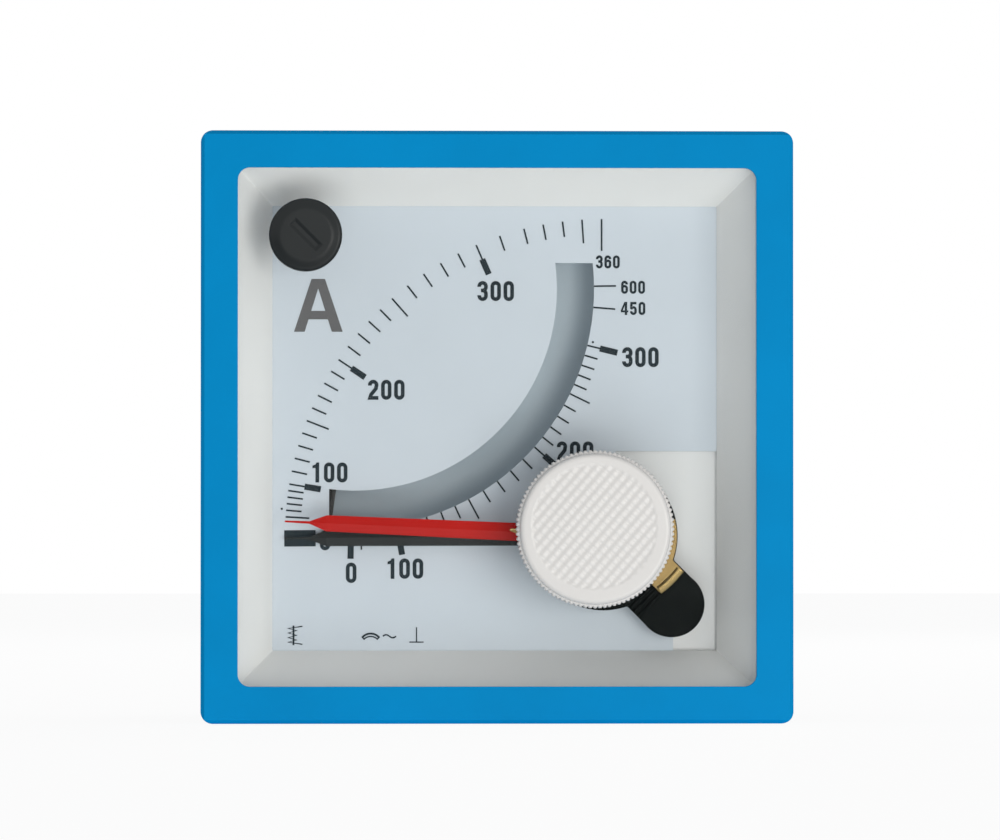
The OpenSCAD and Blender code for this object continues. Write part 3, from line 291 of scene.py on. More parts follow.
join(broad.outputs["Fac"], swing.inputs["Value"])
join(swing.outputs["Result"], step.inputs[0])
join(g_in.outputs["Mottle"], step.inputs[1])
join(step.outputs[0], lift.inputs[0])
join(g_in.outputs["Colour"], tint.inputs[0])
join(lift.outputs[0], tint.inputs["Scale"])
join(step.outputs[0], dull.inputs[0])
join(g_in.outputs["Shine"], dull.inputs[2])
join(tint.outputs[0], g_out.inputs["Colour"])
join(dull.outputs[0], g_out.inputs["Roughness"])
join(bump.outputs[0], g_out.inputs["Normal"])
print("moulded_grain has", len(grain.nodes), "nodes")

# %% [markdown]
# ### Brushing
# Rolled strip and turned rods carry fine lines along the way they were
# worked. Noise stretched fifty to one along one axis makes them. It drives
# the roughness most, the colour a little and the bump hardly at all.

# %% The brushing group
brushing, b_in, b_out = new_group(
    "brushed_lines",
    [
        ("Colour", COLOUR, (0.6, 0.6, 0.6, 1)),
        ("Shine", FLOAT, 0.3),
        ("Lines along", VECTOR, (60, 3000, 3000)),
        ("Strength", FLOAT, 0.15),
        ("Depth in mm", FLOAT, 0.002),
    ],
    [("Colour", COLOUR), ("Roughness", FLOAT), ("Normal", VECTOR)],
)
place = brushing.nodes.new("ShaderNodeTexCoord")
stretch = brushing.nodes.new("ShaderNodeVectorMath")
stretch.operation = "MULTIPLY"
lines = brushing.nodes.new("ShaderNodeTexNoise")
lines.inputs["Scale"].default_value = 1
lines.inputs["Detail"].default_value = 3
centred = add_math(brushing, "SUBTRACT", [(1, 0.5)])
step = add_math(brushing, "MULTIPLY")
rough = add_math(brushing, "ADD")
half = add_math(brushing, "MULTIPLY_ADD", [(1, 0.6), (2, 1)])
tint = brushing.nodes.new("ShaderNodeVectorMath")
tint.operation = "SCALE"
depth = add_math(brushing, "MULTIPLY", [(1, MM)])
bump = brushing.nodes.new("ShaderNodeBump")
join = brushing.links.new
join(place.outputs["Object"], stretch.inputs[0])
join(b_in.outputs["Lines along"], stretch.inputs[1])
join(stretch.outputs[0], lines.inputs["Vector"])
join(lines.outputs["Fac"], centred.inputs[0])
join(centred.outputs[0], step.inputs[0])
join(b_in.outputs["Strength"], step.inputs[1])
join(step.outputs[0], rough.inputs[0])
join(b_in.outputs["Shine"], rough.inputs[1])
join(step.outputs[0], half.inputs[0])
join(b_in.outputs["Colour"], tint.inputs[0])
join(half.outputs[0], tint.inputs["Scale"])
join(b_in.outputs["Depth in mm"], depth.inputs[0])
join(depth.outputs[0], bump.inputs["Distance"])
join(lines.outputs["Fac"], bump.inputs["Height"])
join(tint.outputs[0], b_out.inputs["Colour"])
join(rough.outputs[0], b_out.inputs["Roughness"])
join(bump.outputs[0], b_out.inputs["Normal"])
print("brushed_lines has", len(brushing.nodes), "nodes")

# %% [markdown]
# ## Finishes
# Every finish is one Principled shader fed by one of the two groups. What
# is the same all over, such as how metallic it is, is set on the shader
# itself.

# %% Makers of finishes


def principled(name, effect, sockets, constants):
    """A Principled finish fed by an effect group. sockets sets the group, constants the shader itself."""
    finish = bpy.data.materials.new(name)
    finish.use_nodes = True
    shader = finish.node_tree.nodes["Principled BSDF"]
    group = finish.node_tree.nodes.new("ShaderNodeGroup")
    group.node_tree = effect
    for label, value in sockets.items():
        group.inputs[label].default_value = value
    for label, value in constants.items():
        shader.inputs[label].default_value = value
    for given, taken in (("Colour", "Base Color"), ("Roughness", "Roughness"), ("Normal", "Normal")):
        finish.node_tree.links.new(group.outputs[given], shader.inputs[taken])
    return finish


def plastic(name, colour, shine, grain_per_mm, depth_mm, mottle, gloss=0.5):
    """A moulded or painted finish. colour is linear, shine is the roughness, and gloss the specular level."""
    sockets = {
        "Colour": (*colour, 1),
        "Shine": shine,
        "Grain per mm": grain_per_mm,
        "Depth in mm": depth_mm,
        "Mottle": mottle,
    }
    return principled(name, grain, sockets, {"Specular IOR Level": gloss})


def metal(name, colour, shine, lines_along, strength, depth_mm):
    """A worked metal. lines_along is how often the lines change in a metre along X, Y and Z."""
    sockets = {
        "Colour": (*colour, 1),
        "Shine": shine,
        "Lines along": lines_along,
        "Strength": strength,
        "Depth in mm": depth_mm,
    }
    return principled(name, brushing, sockets, {"Metallic": 1.0})


# %% The finishes of this meter
ACROSS = (3000, 60, 3000)
ROUND = (60, 3000, 60)
finishes = {
    "frame_blue": plastic("frame_blue", (0.0, 0.228, 0.51), 0.45, 5, 0.003, 0.04, gloss=0.03),
    "mask_grey": plastic("mask_grey", (0.81, 0.80, 0.775), 0.6, 6, 0.003, 0.02, gloss=0.2),
    "dial_paint": plastic("dial_paint", (0.588, 0.632, 0.672), 0.6, 8, 0.002, 0.015, gloss=0.2),
    "ink": plastic("ink", (0.022, 0.032, 0.038), 0.6, 12, 0.002, 0.1, gloss=0.1),
    "grey_ink": plastic("grey_ink", (0.135, 0.132, 0.132), 0.6, 12, 0.002, 0.08, gloss=0.1),
    "corner_grey": plastic("corner_grey", (0.76, 0.755, 0.74), 0.55, 6, 0.002, 0.02, gloss=0.3),
    "plate_grey": plastic("plate_grey", (0.525, 0.595, 0.64), 0.5, 5, 0.002, 0.03, gloss=0.4),
    "case_black": plastic("case_black", (0.018, 0.018, 0.02), 0.5, 4, 0.008, 0.04, gloss=0.4),
    "knob_white": plastic("knob_white", (0.655, 0.635, 0.61), 0.3, 6, 0.002, 0.015, gloss=0.5),
    "black_gloss": plastic("black_gloss", (0.003, 0.0045, 0.0042), 0.22, 4, 0.002, 0.1, gloss=0.05),
    "black_matt": plastic("black_matt", (0.0085, 0.011, 0.0115), 0.32, 4, 0.003, 0.1, gloss=0.26),
    "black_paint": plastic("black_paint", (0.012, 0.015, 0.015), 0.45, 8, 0.002, 0.08, gloss=0.25),
    "red_paint": plastic("red_paint", (0.47, 0.008, 0.005), 0.42, 8, 0.002, 0.04, gloss=0.12),
    "iron_black": plastic("iron_black", (0.02, 0.02, 0.02), 0.5, 8, 0.002, 0.08, gloss=0.4),
    "inner_plastic": plastic("inner_plastic", (0.68, 0.67, 0.63), 0.45, 4, 0.004, 0.03),
    "coil_black": plastic("coil_black", (0.025, 0.025, 0.027), 0.5, 4, 0.006, 0.08),
    "brass": metal("brass", (0.47, 0.35, 0.16), 0.3, ROUND, 0.12, 0.001),
    # a copy of brass darkened for the zero tab: painted shade standing in for the dim reflection of its flat
    # face
    "painted_shade_brass": metal("painted_shade_brass", (0.24, 0.165, 0.068), 0.3, ROUND, 0.12, 0.001),
    "bright_brass": metal("bright_brass", (0.50, 0.36, 0.15), 0.14, ROUND, 0.08, 0.0005),
    "copper": metal("copper", (0.78, 0.36, 0.22), 0.33, ACROSS, 0.12, 0.001),
    "winding": metal("winding", (0.6, 0.22, 0.1), 0.35, (10, 5200, 10), 0.35, 0.02),
    "bimetal": metal("bimetal", (0.6, 0.55, 0.46), 0.35, ROUND, 0.15, 0.001),
    "steel": metal("steel", (0.62, 0.63, 0.66), 0.3, ROUND, 0.14, 0.001),
    "spring_steel": metal("spring_steel", (0.42, 0.45, 0.55), 0.28, ROUND, 0.12, 0.001),
    "iron": metal("iron", (0.32, 0.32, 0.34), 0.5, (300, 300, 300), 0.2, 0.003),
    "aluminium": metal("aluminium", (0.78, 0.79, 0.81), 0.35, ACROSS, 0.14, 0.001),
}
print(len(finishes), "finishes")

# %% [markdown]
# ### The window
# Clear moulded plastic. Cycles can carry light through a refracting pane
# only as noisy caustics, so lamp light is let straight through: the pane is
# glass for the eye and plain, slightly tinted air for shadow rays and
# diffuse rays. Its index is kept low so that it lays no haze on the dial.

# %% The clear finish
clear = bpy.data.materials.new("window_clear")
clear.use_nodes = True
tree = clear.node_tree
glass = tree.nodes["Principled BSDF"]
glass.inputs["Base Color"].default_value = (0.985, 0.992, 0.992, 1)
glass.inputs["Roughness"].default_value = 0.02
glass.inputs["IOR"].default_value = 1.1
glass.inputs["Transmission Weight"].default_value = 1.0
air = tree.nodes.new("ShaderNodeBsdfTransparent")
air.inputs["Color"].default_value = (0.97, 0.98, 0.98, 1)
ray = tree.nodes.new("ShaderNodeLightPath")
either = add_math(tree, "MAXIMUM")
swap = tree.nodes.new("ShaderNodeMixShader")
tree.links.new(ray.outputs["Is Shadow Ray"], either.inputs[0])
tree.links.new(ray.outputs["Is Diffuse Ray"], either.inputs[1])
tree.links.new(either.outputs[0], swap.inputs[0])
tree.links.new(glass.outputs[0], swap.inputs[1])
tree.links.new(air.outputs[0], swap.inputs[2])
tree.links.new(swap.outputs[0], tree.nodes["Material Output"].inputs["Surface"])
finishes["window_clear"] = clear

# %% Give every CAD node the finish that its record names
for part in frame["record"]["subparts"]:
    for holder in nodes[part["node"]].material_slots:
        holder.material = finishes[part["material_slot"]]
# the zero tab takes the darkened brass, a painted shade for the dim reflection of its flat face
for holder in nodes["bimetal_zero_lever"].material_slots:
    holder.material = finishes["painted_shade_brass"]

# %% [markdown]
# ## Making surfaces
# Each new piece is a surface r(u, v) worked out for a whole grid of u and v
# at once. One helper turns such a grid of points into a mesh: neighbours in
# the grid become a four-sided face.

# %% Helpers that turn arrays into objects


def add_piece(name, points, faces, finish, body, slot, smooth=True):
    """A mesh object from an (n, 3) array in metres and its faces. It rides on one CAD body."""
    mesh = bpy.data.meshes.new(name)
    mesh.from_pydata(points.tolist(), [], faces.tolist() if hasattr(faces, "tolist") else faces)
    mesh.polygons.foreach_set("use_smooth", np.full(len(mesh.polygons), smooth))
    mesh.materials.append(finishes[finish])
    piece = bpy.data.objects.new(name, mesh)
    bpy.context.scene.collection.objects.link(piece)
    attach(piece, body)
    return piece


def grid_faces(rows, columns, closed):
    """Faces of a grid: corner (i, j) is point i x columns + j. closed joins the last column to the first."""
    i, j = np.meshgrid(np.arange(rows - 1), np.arange(columns if closed else columns - 1), indexing="ij")
    right = (j + 1) % columns
    return np.stack(
        [i * columns + j, i * columns + right, (i + 1) * columns + right, (i + 1) * columns + j], -1
    ).reshape(-1, 4)


def merged(*parts):
    """Several (points, faces) pairs as one pair, with the faces of each counted on from the last."""
    faces, count = [], 0
    for points, own_faces in parts:
        faces += [[i + count for i in face] for face in own_faces]
        count += len(points)
    return np.concatenate([points for points, _ in parts]), faces


# %% [markdown]
# ## Softened edges
# No moulding or sheet has a perfectly sharp edge: a tool radius or a tumbled
# burr catches a thin line of light. The parts that are seen get one. The
# CAD triangles are copied, merged and joined into flat faces again, and a
# bevel takes a little off every edge that turns by more than 30 degrees.

# %% A softened copy of a CAD node
MERGE = 0.0005 * MM
FLAT_ANGLE, SHARP_ANGLE = radians(0.4), radians(30)
BEVEL_STEPS = 2
slot_of = {part["node"]: part["material_slot"] for part in frame["record"]["subparts"]}


def soften(node, radius_mm):
    """Replaces a CAD node by a copy of it whose edges are rounded off by radius_mm."""
    source = nodes[node]
    shape = bmesh.new()
    shape.from_mesh(source.data)
    bmesh.ops.remove_doubles(shape, verts=shape.verts, dist=MERGE)
    bmesh.ops.dissolve_limit(shape, angle_limit=FLAT_ANGLE, verts=shape.verts, edges=shape.edges)
    mesh = bpy.data.meshes.new("soft_" + node)
    shape.to_mesh(mesh)
    shape.free()
    mesh.shade_smooth()
    mesh.set_sharp_from_angle(angle=SHARP_ANGLE)
    for holder in source.material_slots:
        mesh.materials.append(holder.material)
    piece = bpy.data.objects.new("soft_" + node, mesh)
    bpy.context.scene.collection.objects.link(piece)
    edge = piece.modifiers.new("edge", "BEVEL")
    edge.width = radius_mm * MM
    edge.segments = BEVEL_STEPS
    edge.limit_method = "ANGLE"
    edge.angle_limit = SHARP_ANGLE
    edge.use_clamp_overlap = True
    edge.harden_normals = True
    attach(piece, body_of[node])
    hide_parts(node)
    return piece


edge_radii = {
    "bezel_frame": 0.2,
    "case": 0.25,
    "clamp_strap_left": 0.2,
    "clamp_strap_right": 0.2,
    "pivot_bridge": 0.08,
    "mask": 0.12,
    "corner_plate": 0.1,
    "dial_plate": 0.06,
}
for node, radius_mm in edge_radii.items():
    piece = soften(node, radius_mm)
    print(piece.name, len(piece.data.polygons), "flat faces")

# %% [markdown]
# ## Printed numerals
# The dial is screen printed in a bold condensed face. Such figures are
# nearly strokes of one width, so each is drawn as the middle line of its
# stroke, and the outline is that line moved half a stroke to either side.
# The outline is filled and given the thickness of a coat of ink.

# %% Strokes and outlines of the figures
STROKE = 0.185
WIDE = 0.52


def arc(cx, cy, rx, ry, start, end, count=14):
    """Points on an ellipse: (cx + rx cos t, cy + ry sin t) for t from start to end degrees."""
    t = np.radians(np.linspace(start, end, count))
    return np.stack([cx + rx * np.cos(t), cy + ry * np.sin(t)], -1)


def outline(line, width=STROKE, closed=False):
    """The sides of a stroke, half a width along the normal: two rings for a closed line, else one."""
    ahead = np.roll(line, -1, 0) - line
    behind = line - np.roll(line, 1, 0)
    if not closed:
        ahead[-1] = behind[-1]
        behind[0] = ahead[0]
    ahead /= np.linalg.norm(ahead, axis=1, keepdims=True)
    behind /= np.linalg.norm(behind, axis=1, keepdims=True)
    along = ahead + behind
    along /= np.linalg.norm(along, axis=1, keepdims=True)
    spread = np.clip((ahead * along).sum(1), 0.5, 1)[:, None]
    normal = np.stack([-along[:, 1], along[:, 0]], -1) * (width / 2) / spread
    if closed:
        return [line + normal, line - normal]
    return [np.concatenate([line + normal, (line - normal)[::-1]])]


def join_points(*parts):
    """Several runs of points as one line."""
    return np.concatenate([np.atleast_2d(p) for p in parts])


# %% [markdown]
# A figure is 1 high and is a list of shapes, each of them a list of rings:
# the outer edge and any hole. The middle lines keep half a stroke inside
# the figure's box. The 3 and the 6 cross their own strokes, so they are two
# shapes that overlap.

# %% The figures
LOW, TOP = STROKE / 2, 1 - STROKE / 2
LEFT, RIGHT = STROKE / 2, WIDE - STROKE / 2
MID, HALF = (LEFT + RIGHT) / 2, (RIGHT - LEFT) / 2
LEG = 0.30
figures = {
    "0": [
        outline(
            join_points(arc(MID, TOP - HALF, HALF, HALF, 0, 180), arc(MID, LOW + HALF, HALF, HALF, 180, 360)),
            closed=True,
        )
    ],
    "1": [
        [
            np.array(
                [
                    [0.15, 0], [0.15 + STROKE, 0], [0.15 + STROKE, 1], [0.2, 1],
                    [0.15, 0.9], [0.0, 0.84], [0.0, 0.71], [0.15, 0.73],
                ]
            )
        ]
    ],
    "2": [
        outline(
            join_points(
                arc(MID, TOP - HALF, HALF, HALF, 190, -25),
                [[RIGHT - 0.03, 0.56], [LEFT + 0.06, 0.26], [LEFT + 0.01, LOW]],
                [[WIDE, LOW]],
            )
        )
    ],
    "3": [
        outline(
            join_points(
                arc(MID, TOP - HALF, HALF, HALF, 190, 0),
                arc(MID, 0.70, HALF, 0.17, 0, -90),
                [[MID - 0.08, 0.53]],
            )
        ),
        outline(
            join_points(
                [[MID - 0.06, 0.53]],
                arc(MID, 0.37, HALF, 0.16, 90, 0),
                arc(MID, LOW + HALF, HALF, HALF, 0, -190),
            )
        ),
    ],
    "4": [
        [
            np.array(
                [
                    [LEG, 0], [LEG + STROKE, 0], [LEG + STROKE, 0.2], [0.57, 0.2],
                    [0.57, 0.35], [LEG + STROKE, 0.35], [LEG + STROKE, 1], [LEG - 0.02, 1],
                    [0.0, 0.37], [0.0, 0.2], [LEG, 0.2],
                ]
            ),
            np.array([[LEG, 0.35], [0.15, 0.35], [LEG, 0.72]]),
        ]
    ],
    "5": [
        outline(
            join_points(
                [[WIDE - 0.03, TOP], [LEFT + 0.02, TOP], [LEFT + 0.01, 0.53]],
                arc(MID, 0.40, HALF, 0.18, 140, 0),
                arc(MID, LOW + HALF, HALF, HALF, 0, -190),
            )
        )
    ],
    "6": [
        outline(
            join_points(arc(MID, 0.44, HALF, 0.15, 0, 180), arc(MID, LOW + HALF, HALF, HALF, 180, 360)),
            closed=True,
        ),
        outline(join_points(arc(MID, TOP - HALF, HALF, HALF, -8, 180), [[LEFT, 0.4]])),
    ],
    "A": [
        [
            np.array(
                [
                    [0, 0], [0.2, 0], [0.275, 0.235], [0.64, 0.235],
                    [0.715, 0], [0.92, 0], [0.585, 1], [0.33, 1],
                ]
            ),
            np.array([[0.325, 0.395], [0.59, 0.395], [0.457, 0.82]]),
        ]
    ],
    "dot": [[arc(0.5, 0.5, 0.5, 0.5, 0, 345, 24)]],
    "wave": [
        outline(
            np.stack([np.linspace(0, 1, 24), 0.5 + 0.11 * np.sin(np.linspace(0, 2 * np.pi, 24))], -1),
            width=0.105,
        )
    ],
    "upright": [
        outline(np.array([[0.0, 0.035], [0.93, 0.035]]), width=0.075),
        outline(np.array([[0.465, 0.035], [0.465, 1.0]]), width=0.075),
    ],
    "arch": [
        outline(
            join_points(arc(0.5, 0.03, 0.63, 0.63, 138, 42, 18), arc(0.5, -0.04, 0.53, 0.53, 46, 134, 18)),
            width=0.075,
            closed=True,
        ),
        outline(arc(0.5, 0.02, 0.63, 0.63, 137, 43, 18), width=0.105),
    ],
    "zigzag": [
        outline(np.array([[0.345, 0.0], [0.345, 1.0]]), width=0.09),
        outline(
            np.array(
                [
                    [0.8, 0.96], [0.08, 0.85], [0.5, 0.74], [0.08, 0.62], [0.5, 0.50],
                    [0.08, 0.38], [0.5, 0.26], [0.08, 0.15], [0.8, 0.04],
                ]
            ),
            width=0.06,
        ),
    ],
}
widths = {
    name: max(ring[:, 0].max() for shape in shapes for ring in shape) for name, shapes in figures.items()
}
widths["1"] = 0.44
print("figures:", {k: round(float(v), 2) for k, v in widths.items()})

# %% [markdown]
# A row of figures becomes one piece. Each outline is filled with triangles,
# and the filled face is doubled and walled so that the print is a thin
# closed body that just stands on the dial. A second shape of the same
# figure stands a hair prouder, so that no two faces lie in one plane.

# %% Setting a row of figures on the dial
PRINT_T = 0.04 * MM
PRINT_STEP = 0.004 * MM


def print_shape(rings, proud):
    """Points and faces of one flat shape in (x, z) metres, from the dial up to the height proud."""
    flat = np.concatenate(rings)
    n = len(flat)
    face = np.stack([flat[:, 0], np.full(n, dial_y - proud), flat[:, 1]], -1)
    back = np.stack([flat[:, 0], np.full(n, dial_y), flat[:, 1]], -1)
    fill = np.array(tessellate_polygon([[Vector((p[0] / MM, p[1] / MM, 0)) for p in ring] for ring in rings]))
    a, b, c = (flat[fill[:, k]] for k in range(3))
    turned = (b[:, 0] - a[:, 0]) * (c[:, 1] - a[:, 1]) - (b[:, 1] - a[:, 1]) * (c[:, 0] - a[:, 0])
    fill[turned < 0] = fill[turned < 0][:, ::-1]
    faces = fill.tolist() + (fill[:, ::-1] + n).tolist()
    start = 0
    for k, ring in enumerate(rings):
        here = start + np.arange(len(ring))
        after = start + (np.arange(len(ring)) + 1) % len(ring)
        area = np.sum(ring[:, 0] * np.roll(ring[:, 1], -1) - ring[:, 1] * np.roll(ring[:, 0], -1))
        wall = np.stack([here, here + n, after + n, after], -1)
        faces += (wall[:, ::-1] if (area < 0) != (k > 0) else wall).tolist()
        start += len(ring)
    return np.concatenate([face, back]), faces


def print_row(name, text, x, z, high, finish="ink", gap=0.135):
    """Prints figures, high mm tall, with their middle at (x, z) in mm."""
    total = sum(widths[c] for c in text) + gap * (len(text) - 1)
    pen = -total / 2
    shapes = []
    for c in text:
        for k, shape in enumerate(figures[c]):
            rings = [((ring + [pen, -0.5]) * high + [x, z]) * MM for ring in shape]
            shapes.append(print_shape(rings, PRINT_T + k * PRINT_STEP))
        pen += widths[c] + gap
    add_piece(name, *merged(*shapes), finish, "meter", "ink", smooth=False)


rows = [
    ("outer_0", "0", -20.8, -13.73, 2.45),
    ("outer_100", "100", -20.2, -5.42, 2.45),
    ("outer_200", "200", -13.3, 4.72, 2.45),
    ("outer_300", "300", 0.12, 16.85, 2.45),
    ("inner_0", "0", -17.6, -17.71, 2.5),
    ("inner_100", "100", -10.95, -17.2, 2.5),
    ("inner_200", "200", 9.87, -2.82, 2.45),
    ("inner_300", "300", 17.9, 8.75, 2.45),
    ("small_360", "360", 13.9, 20.44, 1.6),
    ("small_600", "600", 17.0, 17.33, 1.6),
    ("small_450", "450", 17.0, 14.73, 1.6),
]
for name, text, x, z, high in rows:
    print_row("print_" + name, text, x, z, high)
print_row("print_ampere", "A", -21.63, 15.07, 6.48, finish="grey_ink")
small_marks = [
    ("point_60", "dot", -26.1, -9.87, 0.28),
    ("point_300", "dot", 12.06, 10.59, 0.28),
    ("zigzag", "zigzag", -24.52, -25.37, 2.4),
    ("arch", "arch", -15.18, -25.49, 2.2),
    ("wave", "wave", -12.88, -25.49, 1.64),
    ("upright", "upright", -9.59, -25.33, 1.88),
]
for name, sign, x, z, high in small_marks:
    print_row("print_" + name, [sign], x, z, high)

# %% [markdown]
# ## The reset knob
# The white knob is what the hand finds, so it has a fine knurl round its
# rim and a ribbed pad on its face. The pad is a height h(x, z) over the
# face: broad furrows rising to the right leave ridges, and narrow shallow
# ones across them cut each ridge into pads. Every furrow is a raised
# cosine. The face is a grid of radius and angle, and the rim is the same
# kind of grid carried down a profile that is notched by the knurl.

# %% The face of the knob
GRIP_R = 7.7 * MM
GRIP_LEFT, GRIP_UP = 0.15 * MM, 0.3 * MM
PITCH = 0.995 * MM
FURROW, FURROW_DEEP = 0.95 * MM, 0.08 * MM
CROSS, CROSS_DEEP = 0.7 * MM, 0.06 * MM
GRIP_TURN = radians(49)
EDGE_R = 0.55 * MM
CAP_IN = 0.45 * MM
CAP_HIGH = 0.8 * MM
CAP_SUNK = 0.2 * MM
GRIP_FADE = 0.35 * MM
TEETH = 100
HOLE = 0.02 * MM
cap_r = knob_r - CAP_IN
face_y = knob_low.y


def furrow(across, wide):
    """A furrow every PITCH: 1 at its middle, 0 from wide / 2 outwards, (1 + cos) / 2 between."""
    off = np.abs((across / PITCH + 0.5) % 1 - 0.5) * PITCH
    return np.where(off < wide / 2, 0.5 + 0.5 * np.cos(2 * np.pi * off / wide), 0)


def grip_height(x, z):
    """How far the face lies below its top: the two furrows added, fading out at the grip's edge."""
    u, v = x * cos(GRIP_TURN) + z * sin(GRIP_TURN), x * sin(GRIP_TURN) - z * cos(GRIP_TURN)
    deep = furrow(v, FURROW) * FURROW_DEEP + furrow(u, CROSS) * CROSS_DEEP
    return deep * np.clip((GRIP_R - np.hypot(x, z)) / GRIP_FADE, 0, 1)


def lathe(profile_r, profile_y, turns, x=knob_x, z=knob_z):
    """Points of a profile turned about the axis at (x, z). profile_r may differ from angle to angle."""
    angles = np.linspace(0, 2 * np.pi, turns, endpoint=False)
    r = np.broadcast_to(profile_r, (len(profile_y), turns))
    y = np.broadcast_to(profile_y[:, None], (len(profile_y), turns))
    return np.stack([x + r * np.cos(angles), y, z + r * np.sin(angles)], -1)


def closed_lathe(points):
    """Points and faces of a turned grid, with its first and last ring closed by a fan."""
    rows, turns = points.shape[:2]
    flat = points.reshape(-1, 3)
    ends = points[[0, -1]].mean(1)
    ring = np.arange(turns)
    after = (ring + 1) % turns
    first, last = len(flat), len(flat) + 1
    start = (rows - 1) * turns
    fans = np.concatenate(
        [
            np.stack([np.full(turns, first), after, ring], -1),
            np.stack([np.full(turns, last), start + ring, start + after], -1),
        ]
    )
    return np.concatenate([flat, ends]), grid_faces(rows, turns, True).tolist() + fans.tolist()


FACE_ROWS, FACE_TURNS = 118, 480
radii = np.linspace(HOLE, cap_r - EDGE_R, FACE_ROWS)
bend = np.linspace(0, np.pi / 2, 7)[1:]
cap_radii = np.concatenate([radii, cap_r - EDGE_R + EDGE_R * np.sin(bend), [cap_r]])
cap_y = np.concatenate(
    [np.full(FACE_ROWS, face_y), face_y + EDGE_R * (1 - np.cos(bend)), [face_y + CAP_HIGH + CAP_SUNK]]
)
cap = lathe(cap_radii[:, None], cap_y, FACE_TURNS)
cap[:FACE_ROWS, :, 1] += grip_height(
    cap[:FACE_ROWS, :, 0] - knob_x + GRIP_LEFT, cap[:FACE_ROWS, :, 2] - knob_z - GRIP_UP
)
cap_points, cap_faces = closed_lathe(cap)
print("knob face:", len(cap_faces), "faces")

# %% [markdown]
# The knurled rim is a lathe profile whose radius dips by the depth of a
# notch between the teeth. A tooth is a rounded wave of the angle, so the
# whole rim is still one formula: r(angle, height) = profile radius minus
# notch depth times (0.5 - 0.5 cos(teeth x angle)) to the power 2.2.

# %% The rim and the shaft of the knob
RIM_TURNS = TEETH * 8
NOTCH = 0.22 * MM
NOTCH_POWER = 2.2
RIM_DEEP = 2.3 * MM
SHAFT_R = 2.5 * MM
STAKE_R, STAKE_LONG = 1.4 * MM, 0.95 * MM
rim_top = face_y + CAP_HIGH
rim_bottom = rim_top + RIM_DEEP
profile = np.array(
    [
        [HOLE, rim_top, 0],
        [knob_r - 0.5 * MM, rim_top, 0],
        [knob_r - 0.22 * MM, rim_top + 0.05 * MM, 0.6],
        [knob_r - 0.06 * MM, rim_top + 0.2 * MM, 0.9],
        [knob_r, rim_top + 0.4 * MM, 1],
        [knob_r, rim_bottom - 0.2 * MM, 1],
        [knob_r - 0.15 * MM, rim_bottom, 0.8],
        [SHAFT_R, rim_bottom, 0],
        [SHAFT_R, knob_high.y - STAKE_LONG, 0],
        [STAKE_R, knob_high.y - STAKE_LONG, 0],
        [STAKE_R, knob_high.y, 0],
        [HOLE, knob_high.y, 0],
    ]
)
wave = (0.5 - 0.5 * np.cos(TEETH * np.linspace(0, 2 * np.pi, RIM_TURNS, endpoint=False))) ** NOTCH_POWER
rim = closed_lathe(lathe(profile[:, :1] - NOTCH * profile[:, 2:] * wave, profile[:, 1], RIM_TURNS))
grip_knob = add_piece("grip_knob", *merged((cap_points, cap_faces), rim), "knob_white", "reset", "knob_white")
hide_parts("reset_knob")
print("grip_knob:", len(grip_knob.data.polygons), "faces")

# %% [markdown]
# ## The zero knob
# The small black knob is flat in the middle and slopes away to its rim, and
# a screwdriver slot with eased sides runs down to the right. Its face is
# again a height over a grid: r > flat gives the slope, and the slot is
# deep x clip((half width - |across|) / side) within its length. Shaft, neck
# and the driving pin behind the window follow on the same profile.

# %% Turn the zero knob
FLAT_R, SLOPE, RIM_ROUND = 3.0 * MM, 0.42, 0.45 * MM
SLOT_LONG, SLOT_WIDE, SLOT_DEEP, SLOT_SIDE = 4.3 * MM, 0.85 * MM, 0.2 * MM, 0.36 * MM
ZERO_SHAFT_R, ZERO_NECK_R, NECK_END = 1.95 * MM, 1.5 * MM, 3.4 * MM
PIN_R, PIN_THROW, PIN_AT = 0.5 * MM, 0.9 * MM, 135
HEAD_HIGH, SLOPE_EASE, OVERLAP = 1.6 * MM, 0.5 * MM, 0.1 * MM
zero_low, zero_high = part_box("zero_knob")
zero_x, zero_z = middle("zero_knob")
zero_r = (zero_high.x - zero_low.x) / 2
zero_back = zero_low.y + HEAD_HIGH


def slope_back(r):
    """How far the face lies back at radius r: SLOPE x (r - flat), eased in over SLOPE_EASE."""
    past = np.clip(r - FLAT_R, 0, None)
    return SLOPE * np.where(past < SLOPE_EASE, past**2 / (2 * SLOPE_EASE), past - SLOPE_EASE / 2)


def slot_deep(x, z):
    """Depth of the slot, which runs along the direction (1, -1) in x and z."""
    along, across = np.abs(x - z) / 2**0.5, np.abs(x + z) / 2**0.5
    inside = np.minimum(SLOT_WIDE / 2 - across, SLOT_LONG / 2 - along)
    return SLOT_DEEP * np.clip(inside / SLOT_SIDE + 0.5, 0, 1)


ZERO_ROWS, ZERO_TURNS = 86, 320
face_r = np.linspace(HOLE, zero_r - RIM_ROUND, ZERO_ROWS)
rim_r = zero_r - RIM_ROUND + RIM_ROUND * np.sin(bend)
rim_y = slope_back(face_r[-1]) + RIM_ROUND * (1 - np.cos(bend))
back_r = np.array([zero_r, ZERO_SHAFT_R, ZERO_SHAFT_R, ZERO_NECK_R, ZERO_NECK_R, HOLE])
window_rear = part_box("window")[1].y
shaft_end = window_rear + OVERLAP
back_y = np.array([zero_back, zero_back, shaft_end, shaft_end, NECK_END, NECK_END])
zero_face = lathe(
    np.concatenate([face_r, rim_r, back_r])[:, None],
    np.concatenate([zero_low.y + slope_back(face_r), zero_low.y + rim_y, back_y]),
    ZERO_TURNS,
    zero_x,
    zero_z,
)
zero_face[:ZERO_ROWS, :, 1] += slot_deep(
    zero_face[:ZERO_ROWS, :, 0] - zero_x, zero_face[:ZERO_ROWS, :, 2] - zero_z
)
